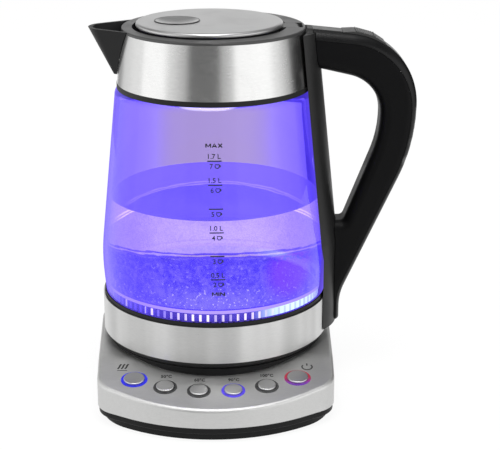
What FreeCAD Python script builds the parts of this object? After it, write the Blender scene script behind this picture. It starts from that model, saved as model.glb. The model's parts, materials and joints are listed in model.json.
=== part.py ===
"""Cordless glass kettle on a powered base with six keys: every piece as a solid of its own, in millimetres.

The jug's axis is the Z axis, the floor is z = 0, the handle points to +X and the control panel to -Y.
"""
import FreeCAD, Part
import math
import os
import types

import Sketcher
from FreeCAD import Placement, Rotation, Vector

SIZES = {
    # Clearances, and how far a cut runs past what it opens
    "running_gap": 0.3, "fit_gap": 0.1, "pin_gap": 0.05, "cut_margin": 1.0,
    # Base: outline in plan, heights and walls
    "side_margin": 4.0, "side_flare": 4.2, "front_margin": 38.8, "front_radius": 108.0, "front_rake": 33.0,
    "front_corner": 20.0, "back_margin": 13.5, "back_radius": 88.0, "back_rake": 45.0, "back_corner": 30.0,
    "foot_height": 0.8, "foot_radius": 7.0, "foot_side_inset": 25.5, "foot_front_inset": 35.3,
    "foot_back_inset": 38.0,
    "tray_height": 9.2, "tray_step": 4.7, "tray_inset": 0.8, "tray_foot_inset": 3.0, "tray_foot_corner": 40.0,
    "tray_wall": 2.2, "tray_floor": 2.0, "tray_round": 0.8,
    "base_flat": 33.6, "panel_inset": 22.3, "panel_slope": 10.0, "shell_wall": 1.5, "shell_round": 2.5,
    "crease_round": 40.0,
    "seat_height": 35.0, "seat_inset": 1.9, "seat_wall": 2.0, "seat_top": 2.0, "seat_round": 1.0,
    "seat_skirt": 14.0,
    "post_circle": 58.0, "post_radius": 4.0, "screw_radius": 1.4, "screw_length": 14.0,
    "screw_head_radius": 3.0, "screw_head": 1.0,
    # Electrical parts in the base
    "tower_radius": 16.2, "tower_height": 16.0, "tower_flange_width": 5.8, "tower_flange_depth": 3.0,
    "tower_bore": 4.8, "tower_bore_depth": 13.0, "slot_inner": 9.0, "slot_width": 2.6, "slot_depth": 9.0,
    "ring_contact_height": 3.0,
    "board_thickness": 1.6, "board_drop": 8.0, "board_half_length": 66.0, "board_depth": 46.0,
    "board_margin": 1.5, "switch_size": 6.0,
    "power_board_length": 56.0, "power_board_width": 40.0, "power_board_lift": 5.0, "standoff_radius": 3.0,
    "power_board_inset": 50.0, "relay_length": 20.0, "relay_width": 16.0, "relay_height": 15.0,
    "gland_bore": 3.5, "gland_radius": 6.0, "gland_flange": 8.0, "gland_flange_depth": 2.0,
    "gland_depth": 9.0, "gland_lift": 10.0, "gland_clip": 3.0,
    # Keys on the panel
    "key_arc": 110.5, "key_inset": 21.3, "key_pitch": 11.7, "small_key": 6.0, "large_key": 7.0,
    "key_ring_width": 1.75, "key_ring_proud": 0.25, "key_proud": 1.6, "key_travel": 1.0, "key_depth": 3.0,
    "key_flange": 1.0, "key_flange_height": 0.8, "key_round": 0.6, "key_tube_wall": 1.5,
    # Jug: heights along the axis and radii
    "cover_step": 2.0, "cover_chamfer": 2.0, "cover_lip": 0.7, "cover_wall": 2.2, "cover_ledge": 2.4,
    "band_bottom": 40.0, "band_radius": 78.4, "band_height": 25.4, "band_sheet": 0.8,
    "seal_height": 2.8, "seal_step": 1.1, "seal_width": 4.4,
    "glass_wall": 3.0, "glass_step": 2.0, "bulge_swell": 0.2, "bulge_height": 24.7,
    "bulge_round": 140.0, "glass_height": 141.4, "glass_narrowing": 12.3,
    "upper_seal_height": 3.5, "upper_seal_step": 1.1, "upper_seal_width": 3.0,
    "upper_band_step": 1.3, "upper_band_height": 35.1, "upper_band_narrowing": 3.9,
    "rim_thickness": 3.0, "rim_lip": 2.0, "rim_round": 0.8, "collar_wall": 2.2,
    "rim_width": 9.6, "throat_wall": 1.2, "throat_depth": 12.0, "lid_offset": 2.6,
    # Heater and the parts under it
    "plate_gap": 0.4, "plate_lift": 3.6, "plate_sheet": 1.2, "guide_width": 5.4, "guide_height": 8.2,
    "led_board_sheet": 1.6, "spreader_inset": 8.8, "spreader_height": 2.0, "element_inset": 7.0,
    "element_width": 7.0, "element_height": 6.0, "element_sweep": 330.0, "terminal_radius": 2.0,
    "terminal_length": 8.0, "terminal_turn": 8.0, "cutout_radius": 8.0, "cutout_height": 7.0,
    "cutout_gap": 1.5,
    "socket_wall": 4.2, "socket_gap": 0.4, "socket_head": 5.0, "socket_head_lap": 2.1,
    "socket_roof": 1.0, "contact_pin_gap": 0.8, "contact_pin_lift": 2.0, "collar_tube_wall": 2.2,
    # Spout
    "spout_reach": 21.9, "spout_nose": 14.0, "spout_angle": 32.0, "spout_drop": 32.0, "spout_wall": 1.8,
    "spout_keel": 2.0, "spout_low_nose": 2.0, "spout_root_inset": 11.1, "spout_floor": 3.0,
    "spout_level": 0.2,
    "port_half_width": 11.5, "port_lift": 12.9, "port_drop": 4.2,
    "filter_sheet": 1.0, "filter_bar": 1.0, "filter_frame": 2.0,
    "filter_columns": 9.0, "filter_rows": 6.0, "filter_margin": 3.0,
    # Lid and its hinge
    "lid_gap": 2.4, "lid_rise": 0.2, "lid_sheet": 3.1, "lid_round": 1.9, "lid_chamfer": 0.6, "plug_gap": 4.1,
    "plug_depth": 14.0, "plug_draft": 1.6, "gasket_reach": 2.8, "gasket_height": 2.4, "gasket_drop": 6.0,
    "gasket_groove": 1.2, "liner_sheet": 1.2, "liner_inset": 2.0, "dimple_radius": 13.0,
    "dimple_lip": 15.1, "dimple_lip_height": 0.5,
    "dimple_depth": 2.0, "dimple_place": 24.0, "hinge_out": 5.1, "hinge_drop": 4.7, "barrel_radius": 4.7,
    "barrel_half": 8.0, "hinge_side_gap": 0.3, "hinge_slot_margin": 0.6, "ear_width": 5.0,
    "ear_half": 3.6, "hinge_pin_radius": 1.5, "arm_depth": 3.5, "catch_half": 3.5,
    "catch_height": 4.0, "catch_reach": 5.6,
    # Handle
    "grip_width": 26.0, "grip_round": 7.0, "grip_drop": 0.7, "grip_top_fall": 7.8, "grip_stand": 58.1,
    "grip_top_radius": 49.0, "grip_turn_drop": 79.3, "grip_turn_radius": 120.0, "grip_foot_stand": 8.3,
    "heel_drop": 4.1, "grip_heel_radius": 40.0, "grip_foot_lift": 2.0, "grip_foot_radius": 3.0,
    "grip_bridge": 24.7, "grip_depth": 24.7, "gap_top_fall": 12.0, "gap_top_radius": 26.5,
    "gap_turn_lift": 6.0,
    "gap_turn_radius": 78.0, "gap_lift": 47.6, "gap_bottom_out": 1.7, "gap_bottom_radius": 3.5,
    "root_inset": 1.1, "cover_top": 6.4, "cover_side": 3.8, "cover_foot": 2.6, "seam_gap": 0.15,
    "block_length": 4.5, "stay_thickness": 7.3, "stay_top_radius": 28.0, "stay_mid_radius": 38.0,
    "stay_mid_lift": 10.1, "stay_drop": 1.2,
    "button_angle": 74.5, "button_half": 15.2, "button_depth": 5.5, "button_crown": 1.0,
    "button_edge": 0.5, "button_width": 17.0, "button_travel": 2.5, "button_crown_half": 6.0,
    "button_round": 1.2, "button_crown_round": 20.0,
    "latch_half": 4.0, "latch_height": 4.0, "latch_drop": 2.8, "latch_inset": 44.7,
}

# Below this an edge counts as level, or a face as upright
FLATNESS = 0.01

DOC = FreeCAD.newDocument("kettle")
SHEET = DOC.addObject("Spreadsheet::Sheet", "Sizes")
NODES = []


class Size:
    """A length or an angle: the value it has now, and the expression on the sheet that gives it."""

    def __init__(self, value, text):
        self.value = value
        self.text = text

    def __add__(self, other):
        other = sized(other)
        return Size(self.value + other.value, f"({self.text} + {other.text})")

    def __sub__(self, other):
        other = sized(other)
        return Size(self.value - other.value, f"({self.text} - {other.text})")

    def __mul__(self, other):
        other = sized(other)
        return Size(self.value * other.value, f"({self.text} * {other.text})")

    def __truediv__(self, other):
        other = sized(other)
        return Size(self.value / other.value, f"({self.text} / {other.text})")

    def __radd__(self, other):
        return sized(other) + self

    def __rsub__(self, other):
        return sized(other) - self

    def __rmul__(self, other):
        return sized(other) * self

    def __rtruediv__(self, other):
        return sized(other) / self

    def __neg__(self):
        return sized(0) - self


def sized(number):
    """The number as a Size."""
    return number if isinstance(number, Size) else Size(float(number), repr(float(number)))


def sine(angle):
    return Size(math.sin(math.radians(angle.value)), f"sin({angle.text})")


def cosine(angle):
    return Size(math.cos(math.radians(angle.value)), f"cos({angle.text})")


def tangent(angle):
    return Size(math.tan(math.radians(angle.value)), f"tan({angle.text})")


def lesser(first, second):
    return Size(min(first.value, second.value), f"min({first.text}; {second.text})")


def root(size):
    return Size(math.sqrt(size.value), f"sqrt({size.text})")


def fill_sheet():
    """Writes every driving size into the sheet and returns them as named Sizes."""
    named = {}
    for row, (name, value) in enumerate(SIZES.items(), 1):
        SHEET.set(f"A{row}", name)
        SHEET.set(f"B{row}", str(value))
        SHEET.setAlias(f"B{row}", name)
        named[name] = Size(value, f"Sizes.{name}")
    DOC.recompute()
    return types.SimpleNamespace(**named)


S = fill_sheet()


def bind(thing, prop, size):
    thing.setExpression(prop, sized(size).text)


def place(thing, x=0, y=0, z=0, axis=None, angle=0):
    """Binds an object's place, and its turn about an axis through that place."""
    if axis is not None:
        thing.Placement = Placement(Vector(), Rotation(axis, 1))
        bind(thing, "Placement.Rotation.Angle", angle)
    for name, size in zip("xyz", (x, y, z)):
        bind(thing, f"Placement.Base.{name}", size)
    return thing


def node(thing):
    """Marks an object as a finished piece, which is written under its label."""
    NODES.append(thing)
    return thing


def corner_arc(before, point, after, radius):
    """The two tangent points and the arc that round a corner, and whether it turns to the left."""
    back = (before - point).normalize()
    ahead = (after - point).normalize()
    half = math.acos(max(-1.0, min(1.0, back.dot(ahead)))) / 2
    reach = radius / math.tan(half)
    first = point + back * reach
    last = point + ahead * reach
    centre = point + (back + ahead).normalize() * (radius / math.sin(half))
    left = back.cross(ahead).z < 0
    start, end = (first, last) if left else (last, first)
    angles = [math.atan2(p.y - centre.y, p.x - centre.x) for p in (start, end)]
    circle = Part.Circle(centre, Vector(0, 0, 1), radius)
    return first, last, Part.ArcOfCircle(circle, angles[0], angles[1]), left


def draw(sketch, corners):
    """Draws a closed outline; a corner is (x, y), or (x, y, radius) where it is rounded."""
    corners = [tuple(sized(value) for value in corner) for corner in corners]
    points = [Vector(corner[0].value, corner[1].value, 0) for corner in corners]
    count = len(points)
    starts, ends, arcs = list(points), list(points), {}
    for i, corner in enumerate(corners):
        if len(corner) == 3:
            ends[i], starts[i], arc, left = corner_arc(
                points[i - 1], points[i], points[(i + 1) % count], corner[2].value)
            arcs[i] = (arc, left)
    lines = [sketch.addGeometry(Part.LineSegment(starts[i], ends[(i + 1) % count]), False)
             for i in range(count)]

    def hold(values, size):
        index = sketch.addConstraint(Sketcher.Constraint(*values, sized(size).value))
        bind(sketch, f"Constraints[{index}]", size)

    for i, corner in enumerate(corners):
        before, after = lines[i - 1], lines[i]
        if i in arcs:
            arc, left = arcs[i]
            bend = sketch.addGeometry(arc, False)
            tip = sketch.addGeometry(Part.Point(points[i]), True)
            first, last = (1, 2) if left else (2, 1)
            sketch.addConstraint([
                Sketcher.Constraint("PointOnObject", tip, 1, before),
                Sketcher.Constraint("PointOnObject", tip, 1, after),
                Sketcher.Constraint("Tangent", before, 2, bend, first),
                Sketcher.Constraint("Tangent", bend, last, after, 1)])
            hold(("Radius", bend), corner[2])
            spot = tip
        else:
            sketch.addConstraint(Sketcher.Constraint("Coincident", before, 2, after, 1))
            spot = after
        hold(("DistanceX", -1, 1, spot, 1), corner[0])
        hold(("DistanceY", -1, 1, spot, 1), corner[1])


def draw_circle(sketch, x, y, radius):
    circle = Part.Circle(Vector(sized(x).value, sized(y).value, 0), Vector(0, 0, 1), sized(radius).value)
    index = sketch.addGeometry(circle, False)
    for kind, size in (("DistanceX", x), ("DistanceY", y)):
        held = sketch.addConstraint(Sketcher.Constraint(kind, -1, 1, index, 3, sized(size).value))
        bind(sketch, f"Constraints[{held}]", size)
    held = sketch.addConstraint(Sketcher.Constraint("Radius", index, sized(radius).value))
    bind(sketch, f"Constraints[{held}]", radius)


def new_body(label):
    body = DOC.addObject("PartDesign::Body", label)
    body.Label = label
    return body


def sketch_on(body, role, name, level=0):
    """A sketch on one of the body's own planes, lifted by level along the plane's normal."""
    plane = [feature for feature in body.Origin.OriginFeatures if feature.Role == role][0]
    sketch = body.newObject("Sketcher::SketchObject", name)
    sketch.AttachmentSupport = [(plane, "")]
    sketch.MapMode = "FlatFace"
    bind(sketch, "AttachmentOffset.Base.z", level)
    return sketch


def spin(label, corners, sweep=360):
    """A body turned about its own Z axis from an outline of radii and heights."""
    body = new_body(label)
    sketch = sketch_on(body, "XZ_Plane", label + "_profile")
    draw(sketch, corners)
    turn = body.newObject("PartDesign::Revolution", label + "_turn")
    turn.Profile = sketch
    turn.ReferenceAxis = (sketch, ["V_Axis"])
    bind(turn, "Angle", sweep)
    return body


def pad(body, sketch, length, symmetric=False):
    feature = body.newObject("PartDesign::Pad", sketch.Name + "_pad")
    feature.Profile = sketch
    feature.SideType = "Symmetric" if symmetric else "One side"
    bind(feature, "Length", length)
    return feature


def pocket(body, sketch, depth, symmetric=False, upward=False):
    """Cuts a sketch out of the body, downwards from the sketch unless upward or symmetric."""
    feature = body.newObject("PartDesign::Pocket", sketch.Name + "_pocket")
    feature.Profile = sketch
    feature.SideType = "Symmetric" if symmetric else "One side"
    feature.Reversed = upward
    bind(feature, "Length", depth)
    return feature


def round_edges(body, chosen, radius):
    """Rounds the edges of the body's last feature that chosen(edge, shape) picks."""
    DOC.recompute()
    tip = body.Tip
    edges = [f"Edge{i}" for i, edge in enumerate(tip.Shape.Edges, 1) if chosen(edge, tip.Shape)]
    feature = body.newObject("PartDesign::Fillet", tip.Name + "_round")
    feature.Base = (tip, edges)
    bind(feature, "Radius", radius)


def box(label, low, high):
    """A block between two opposite corners."""
    block = DOC.addObject("Part::Box", label)
    for prop, a, b in zip(("Length", "Width", "Height"), low, high):
        bind(block, prop, sized(b) - sized(a))
    return place(block, *low)


def rod(label, start, radius, length, axis="Z"):
    """A round bar from its start along +X, +Y or +Z."""
    bar = DOC.addObject("Part::Cylinder", label)
    bind(bar, "Radius", radius)
    bind(bar, "Height", length)
    turns = {"X": (Vector(0, 1, 0), 90), "Y": (Vector(1, 0, 0), -90), "Z": (None, 0)}
    return place(bar, *start, *turns[axis])


def cut(label, base, *tools):
    """The base less each tool in turn; the last result has the label."""
    for i, tool in enumerate(tools):
        result = DOC.addObject("Part::Cut", label if i == len(tools) - 1 else f"{label}_cut{i}")
        result.Refine = False
        result.Base = base
        result.Tool = tool
        base = result
    return base


def join(label, *shapes):
    result = DOC.addObject("Part::MultiFuse", label)
    result.Shapes = list(shapes)
    return result


def overlap(label, base, tool):
    result = DOC.addObject("Part::Common", label)
    result.Refine = False
    result.Base = base
    result.Tool = tool
    return result


def group(label, pieces):
    """Several separate solids under one name."""
    result = DOC.addObject("Part::Compound", label)
    result.Links = list(pieces)
    return result


# Levels that several pieces share, from the floor up
TRAY_LOW = S.foot_height
TRAY_TOP = TRAY_LOW + S.tray_height
TRAY_DECK = TRAY_LOW + S.tray_floor
GLAND_LEVEL = TRAY_TOP + S.gland_lift
JUG_LOW = S.seat_height + S.running_gap
TOWER_TOP = S.seat_height + S.tower_height
BAND_TOP = S.band_bottom + S.band_height
GLASS_LOW = BAND_TOP + S.seal_height
BULGE_LEVEL = GLASS_LOW + S.bulge_height
GLASS_TOP = GLASS_LOW + S.glass_height
UPPER_BAND_LOW = GLASS_TOP + S.upper_seal_height
UPPER_BAND_TOP = UPPER_BAND_LOW + S.upper_band_height
RIM_TOP = UPPER_BAND_TOP + S.rim_lip
PORT_LOW = UPPER_BAND_LOW + S.port_lift
PORT_HIGH = UPPER_BAND_TOP - S.port_drop
LID_LOW = RIM_TOP + S.lid_rise
PLUG_LOW = LID_LOW - S.plug_depth
LATCH_LOW = PLUG_LOW - S.latch_drop
HINGE_Z = RIM_TOP - S.hinge_drop
GRIP_TOP = RIM_TOP - S.grip_drop
GRIP_TURN = GRIP_TOP - S.grip_turn_drop
GRIP_HEEL = BAND_TOP - S.heel_drop
GRIP_FOOT = S.band_bottom + S.grip_foot_lift
GAP_TOP = GRIP_TOP - S.grip_bridge
GAP_TURN = GRIP_TURN + S.gap_turn_lift
GAP_BOTTOM = GLASS_LOW + S.gap_lift
STAY_MID = BULGE_LEVEL + S.stay_mid_lift
STAY_TOP = UPPER_BAND_TOP - S.stay_drop

# Radii of the jug, from its foot up, and of what stands under and in it
COVER_RADIUS = S.band_radius - S.cover_step
SEAL_RADIUS = S.band_radius - S.seal_step
GLASS_FOOT = S.band_radius - S.glass_step
BULGE_RADIUS = S.band_radius + S.bulge_swell
GLASS_TAPER = S.glass_narrowing / (S.glass_height - S.bulge_height)
BAND_TAPER = S.upper_band_narrowing / S.upper_band_height
PLATE_RADIUS = SEAL_RADIUS - S.seal_width - S.running_gap - S.guide_width - S.plate_gap
SPREADER_RADIUS = PLATE_RADIUS - S.spreader_inset
ELEMENT_RADIUS = SPREADER_RADIUS - S.element_inset - S.element_width / 2
CUTOUT_Y = ELEMENT_RADIUS - S.element_width / 2 - S.cutout_radius - S.cutout_gap
SLOT_OUTER = S.slot_inner + S.slot_width
TOWER_FLANGE = S.tower_radius + S.tower_flange_width
CONTACT_PIN_RADIUS = S.tower_bore - S.contact_pin_gap
CONTACT_PIN_LENGTH = S.tower_bore_depth + S.socket_roof - S.contact_pin_lift


def glass_radius(level):
    """Outer radius of the straight cone that the glass follows above its bulge."""
    return BULGE_RADIUS - GLASS_TAPER * (level - BULGE_LEVEL)


UPPER_SEAL_RADIUS = glass_radius(GLASS_TOP) - S.upper_seal_step
UPPER_BAND_FOOT = glass_radius(GLASS_TOP) - S.upper_band_step


def upper_band_radius(level):
    return UPPER_BAND_FOOT - BAND_TAPER * (level - UPPER_BAND_LOW)


RIM_RADIUS = upper_band_radius(UPPER_BAND_TOP)
THROAT = RIM_RADIUS - S.rim_width
LID_RADIUS = THROAT - S.lid_gap
PLUG_RADIUS = THROAT - S.plug_gap

# Reach of the spout, the hinge, the latch and the handle from the jug's axis
SPOUT_TIP = RIM_RADIUS + S.spout_reach
SPOUT_LOW_TIP = UPPER_BAND_FOOT + S.spout_keel
SPOUT_ROOT = RIM_RADIUS - S.spout_root_inset
HINGE_X = THROAT - S.lid_offset + S.hinge_out
CATCH_TIP = PLUG_RADIUS - S.plug_draft - S.lid_offset + S.catch_reach
LATCH_NOSE = CATCH_TIP + S.running_gap * 2
ROOT_X = RIM_RADIUS - S.root_inset
BLOCK_END = RIM_RADIUS + S.block_length
GRIP_REACH = BULGE_RADIUS + S.grip_stand
GRIP_FOOT_X = S.band_radius + S.grip_foot_stand
GAP_REACH = GRIP_REACH - S.grip_depth
GAP_BOTTOM_X = GRIP_FOOT_X + S.gap_bottom_out
LATCH_TAIL = GRIP_REACH - S.latch_inset

# Plan of the base round the seat
SEAT_RADIUS = COVER_RADIUS - S.seat_inset
BASE_HALF = SEAT_RADIUS + S.side_margin
FRONT = SEAT_RADIUS + S.front_margin
BACK = SEAT_RADIUS + S.back_margin
PANEL_START = SEAT_RADIUS - S.panel_inset
KEY_CENTRE = S.key_arc + S.key_inset - FRONT
FOOT_SIDE = BASE_HALF - S.foot_side_inset
FOOT_FRONT = FRONT - S.foot_front_inset
FOOT_BACK = BACK - S.foot_back_inset
POWER_BOARD_Y = BACK - S.power_board_inset


def panel_level(y):
    """Height of the sloping panel at a place y, in front of the line where it starts."""
    return S.base_flat + (sized(y) + PANEL_START) * tangent(S.panel_slope)


def on_panel(thing, x, y, depth=0):
    """Sets a piece square on the panel, sunk along the panel's normal by depth."""
    sunk = sized(depth)
    return place(thing, x, sized(y) + sunk * sine(S.panel_slope),
                 panel_level(y) - sunk * cosine(S.panel_slope), Vector(1, 0, 0), S.panel_slope)


def base_outline(inset, front_corner=S.front_corner):
    """Plan of the base, drawn in by inset all round; a front corner takes no more than the wall beside it."""
    half = BASE_HALF - inset
    wide = half + S.side_flare
    nose = -(FRONT - inset) - (S.front_radius - inset) * (1 / cosine(S.front_rake) - 1)
    tail = (BACK - inset) + (S.back_radius - inset) * (1 / cosine(S.back_rake) - 1)
    cheek = nose + half * tangent(S.front_rake)
    heel = tail - wide * tangent(S.back_rake)
    run = half / cosine(S.front_rake) - (S.front_radius - inset) * tangent(S.front_rake)
    corner = lesser(front_corner - inset, run / tangent((90 - S.front_rake) / 2))
    return [(0, nose, S.front_radius - inset), (half, cheek, corner),
            (wide, heel, S.back_corner - inset), (0, tail, S.back_radius - inset),
            (-wide, heel, S.back_corner - inset), (-half, cheek, corner)]


def base_block(label, inset, low, drop):
    """A solid inside the base's outline, up to the flat top and the sloping panel, lowered by drop."""
    body = new_body(label)
    plan = sketch_on(body, "XY_Plane", label + "_plan", low)
    draw(plan, base_outline(inset))
    top = S.base_flat - drop
    pad(body, plan, top - low)
    far = FRONT * 1.2
    slope = sketch_on(body, "YZ_Plane", label + "_slope")
    draw(slope, [(-PANEL_START, top), (-far, top),
                 (-far, top - (far - PANEL_START) * tangent(S.panel_slope))])
    pocket(body, slope, BASE_HALF * 3, symmetric=True)
    return body


def wall_meets_top(edge, shape):
    """True for an edge between an upright wall and the top."""
    tilts = []
    for face in shape.ancestorsOfType(edge, Part.Face):
        u0, u1, v0, v1 = face.ParameterRange
        tilts.append(face.normalAt((u0 + u1) / 2, (v0 + v1) / 2).z)
    return max(tilts) > 0.9 and min(abs(tilt) for tilt in tilts) < FLATNESS


def is_crease(edge, shape):
    """True for the line across the base where the panel starts to slope."""
    bounds = edge.BoundBox
    level = bounds.YLength < FLATNESS and bounds.ZLength < FLATNESS
    return level and bounds.XLength > BASE_HALF.value / 2 and bounds.ZMin > TRAY_TOP.value


KEY_NAMES = ("keep_warm", "50", "60", "90", "100", "power")


def key_places():
    """Name, place on the panel and cap radius of each key, from left to right."""
    places = []
    for i, name in enumerate(KEY_NAMES):
        turn = (i - 2.5) * S.key_pitch
        large = i in (0, len(KEY_NAMES) - 1)
        places.append((name, S.key_arc * sine(turn), KEY_CENTRE - S.key_arc * cosine(turn),
                       S.large_key if large else S.small_key))
    return places


def post_places():
    """Places of the four posts that the base's screws go up into."""
    side = S.post_circle * math.sqrt(0.5)
    return [(side, side), (-side, side), (-side, -side), (side, -side)]


def standoff_places():
    half_length = S.power_board_length / 2 - S.standoff_radius
    half_width = S.power_board_width / 2 - S.standoff_radius
    return [(sx * half_length, POWER_BOARD_Y + sy * half_width) for sx in (-1, 1) for sy in (-1, 1)]


def make_base():
    """Tray, steel shell, seat and feet."""
    tray = new_body("base_tray_form")
    upper = sketch_on(tray, "XY_Plane", "tray_upper", TRAY_LOW + S.tray_step)
    draw(upper, base_outline(S.tray_inset))
    pad(tray, upper, S.tray_height - S.tray_step)
    lower = sketch_on(tray, "XY_Plane", "tray_lower", TRAY_LOW)
    draw(lower, base_outline(S.tray_foot_inset, S.tray_foot_corner))
    pad(tray, lower, S.tray_step)
    step_level = (TRAY_LOW + S.tray_step).value
    round_edges(tray, lambda edge, shape: edge.BoundBox.ZLength < FLATNESS
                and abs(edge.BoundBox.ZMin - step_level) < FLATNESS, S.tray_round)
    hollow = sketch_on(tray, "XY_Plane", "tray_hollow", TRAY_DECK)
    draw(hollow, base_outline(S.tray_foot_inset + S.tray_wall, S.tray_foot_corner))
    pocket(tray, hollow, S.tray_height, upward=True)
    standoffs = [rod(f"standoff_{i}", (x, y, TRAY_DECK), S.standoff_radius, S.power_board_lift)
                 for i, (x, y) in enumerate(standoff_places())]
    holes = []
    for i, (x, y) in enumerate(post_places()):
        holes.append(rod(f"screw_hole_{i}", (x, y, 0), S.screw_radius + S.fit_gap * 3, TRAY_TOP))
        holes.append(rod(f"screw_sink_{i}", (x, y, 0), S.screw_head_radius + S.fit_gap * 3,
                         TRAY_LOW + S.tray_floor / 2))
    node(cut("base_tray", join("tray_with_standoffs", tray, *standoffs), group("tray_holes", holes)))

    outer = base_block("shell_outer", sized(0), TRAY_TOP, sized(0))
    round_edges(outer, is_crease, S.crease_round)
    round_edges(outer, wall_meets_top, S.shell_round)
    inner = base_block("shell_inner", S.shell_wall, TRAY_TOP - S.cut_margin, S.shell_wall)
    holes = [rod("seat_hole", (0, 0, 0), SEAT_RADIUS + S.fit_gap, S.seat_height * 2),
             rod("gland_hole", (0, BACK / 2, GLAND_LEVEL), S.gland_radius + S.fit_gap,
                 BACK, "Y")]
    for name, x, y, cap in key_places():
        hole = rod(f"key_hole_{name}", (0, 0, 0), cap + S.key_ring_width + S.fit_gap, S.board_drop * 2)
        holes.append(on_panel(hole, x, y, S.board_drop))
    node(cut("base_shell", outer, inner, group("shell_holes", holes)))

    inside = SEAT_RADIUS - S.seat_wall
    under = S.seat_height - S.seat_top
    seat = spin("seat_form", [
        (S.tower_radius + S.fit_gap, under), (inside, under), (inside, S.seat_height - S.seat_skirt),
        (SEAT_RADIUS, S.seat_height - S.seat_skirt),
        (SEAT_RADIUS, S.seat_height, S.seat_round), (S.tower_radius + S.fit_gap, S.seat_height)])
    posts = [rod(f"post_{i}", (x, y, TRAY_DECK), S.post_radius, under - TRAY_DECK)
             for i, (x, y) in enumerate(post_places())]
    pilots = [rod(f"pilot_{i}", (x, y, 0), S.screw_radius + S.fit_gap, TRAY_DECK + S.screw_length)
              for i, (x, y) in enumerate(post_places())]
    node(cut("seat_plinth", join("seat_with_posts", seat, *posts), group("pilots", pilots)))

    feet = [rod(f"foot_{i}", (sx * FOOT_SIDE, y, 0), S.foot_radius, S.foot_height)
            for i, (sx, y) in enumerate([(-1, -FOOT_FRONT), (1, -FOOT_FRONT),
                                         (-1, FOOT_BACK), (1, FOOT_BACK)])]
    node(group("rubber_feet", feet))

    head_top = TRAY_LOW + S.tray_floor / 2
    screws = []
    for i, (x, y) in enumerate(post_places()):
        head_low = head_top - S.screw_head
        head = rod(f"screw_head_{i}", (x, y, head_low), S.screw_head_radius, S.screw_head)
        shank = rod(f"screw_shank_{i}", (x, y, head_low), S.screw_radius, S.screw_length)
        screws.append(join(f"tray_screw_{i}", head, shank))
    node(group("tray_screws", screws))


def make_base_electrics():
    """Connector tower, boards, switches and the gland that the supply lead would come through."""
    flange_top = S.seat_height - S.seat_top
    flange_low = flange_top - S.tower_flange_depth
    bore_low = TOWER_TOP - S.tower_bore_depth
    slot_low = TOWER_TOP - S.slot_depth
    node(spin("base_connector", [
        (0, flange_low), (TOWER_FLANGE, flange_low), (TOWER_FLANGE, flange_top),
        (S.tower_radius, flange_top), (S.tower_radius, TOWER_TOP, S.seat_round), (SLOT_OUTER, TOWER_TOP),
        (SLOT_OUTER, slot_low), (S.slot_inner, slot_low), (S.slot_inner, TOWER_TOP),
        (S.tower_bore, TOWER_TOP), (S.tower_bore, bore_low), (0, bore_low)]))
    node(spin("contact_ring", [
        (S.slot_inner + S.fit_gap, slot_low), (SLOT_OUTER - S.fit_gap, slot_low),
        (SLOT_OUTER - S.fit_gap, slot_low + S.ring_contact_height),
        (S.slot_inner + S.fit_gap, slot_low + S.ring_contact_height)]))

    blank = DOC.addObject("Part::Box", "control_board_blank")
    bind(blank, "Length", S.board_half_length * 2)
    bind(blank, "Width", S.board_depth)
    bind(blank, "Height", S.board_thickness)
    on_panel(blank, -S.board_half_length, -FRONT + S.shell_wall + S.board_drop / 2,
             S.board_drop + S.board_thickness)
    bay = rod("board_bay", (0, 0, 0), SEAT_RADIUS + S.board_margin, S.seat_height)
    room = base_block("board_room", S.shell_wall + S.board_margin, TRAY_LOW, S.shell_wall)
    node(overlap("control_board", cut("control_board_bayed", blank, bay), room))

    switches = []
    for name, x, y, cap in key_places():
        half = S.switch_size / 2
        switch = DOC.addObject("Part::Box", f"switch_{name}")
        bind(switch, "Length", S.switch_size)
        bind(switch, "Width", S.switch_size)
        bind(switch, "Height", S.board_drop - S.key_depth - S.key_travel - S.running_gap)
        switches.append(on_panel(switch, x - half, y - half * cosine(S.panel_slope), S.board_drop))
    node(group("key_switches", switches))

    board_low = TRAY_DECK + S.power_board_lift
    board_top = board_low + S.board_thickness
    half_length = S.power_board_length / 2
    half_width = S.power_board_width / 2
    node(box("power_board", (-half_length, POWER_BOARD_Y - half_width, board_low),
             (half_length, POWER_BOARD_Y + half_width, board_top)))
    node(box("relay", (-S.relay_length / 2, POWER_BOARD_Y - S.relay_width / 2, board_top),
             (S.relay_length / 2, POWER_BOARD_Y + S.relay_width / 2, board_top + S.relay_height)))

    inside = BACK - S.gland_depth
    shank = rod("gland_shank", (0, inside, GLAND_LEVEL), S.gland_radius, S.gland_depth, "Y")
    flange = rod("gland_flange_disc", (0, BACK, GLAND_LEVEL), S.gland_flange, S.gland_flange_depth, "Y")
    clip = rod("gland_clip_disc", (0, inside, GLAND_LEVEL), S.gland_flange, S.gland_clip, "Y")
    bore = rod("gland_bore_hole", (0, inside - S.cut_margin, GLAND_LEVEL), S.gland_bore,
               S.gland_depth * 2, "Y")
    node(cut("cord_gland", join("gland_form", shank, flange, clip), bore))


def make_keys():
    """A light ring in the panel and a sprung cap inside it, for each key."""
    for name, x, y, cap in key_places():
        bore = cap + S.running_gap
        edge = cap + S.key_ring_width
        step = S.key_flange_height + S.running_gap - S.key_depth
        wide = cap + S.key_flange + S.running_gap
        node(on_panel(spin(f"ring_{name}", [
            (bore, S.key_ring_proud), (edge, S.key_ring_proud), (edge, -S.shell_wall),
            (wide + S.key_tube_wall, -S.shell_wall), (wide + S.key_tube_wall, -S.board_drop),
            (wide, -S.board_drop), (wide, step), (bore, step)]), x, y))
    for name, x, y, cap in key_places():
        node(on_panel(spin(f"key_{name}", [
            (0, -S.key_depth), (cap + S.key_flange, -S.key_depth),
            (cap + S.key_flange, S.key_flange_height - S.key_depth), (cap, S.key_flange_height - S.key_depth),
            (cap, S.key_proud, S.key_round), (0, S.key_proud)]), x, y))


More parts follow.
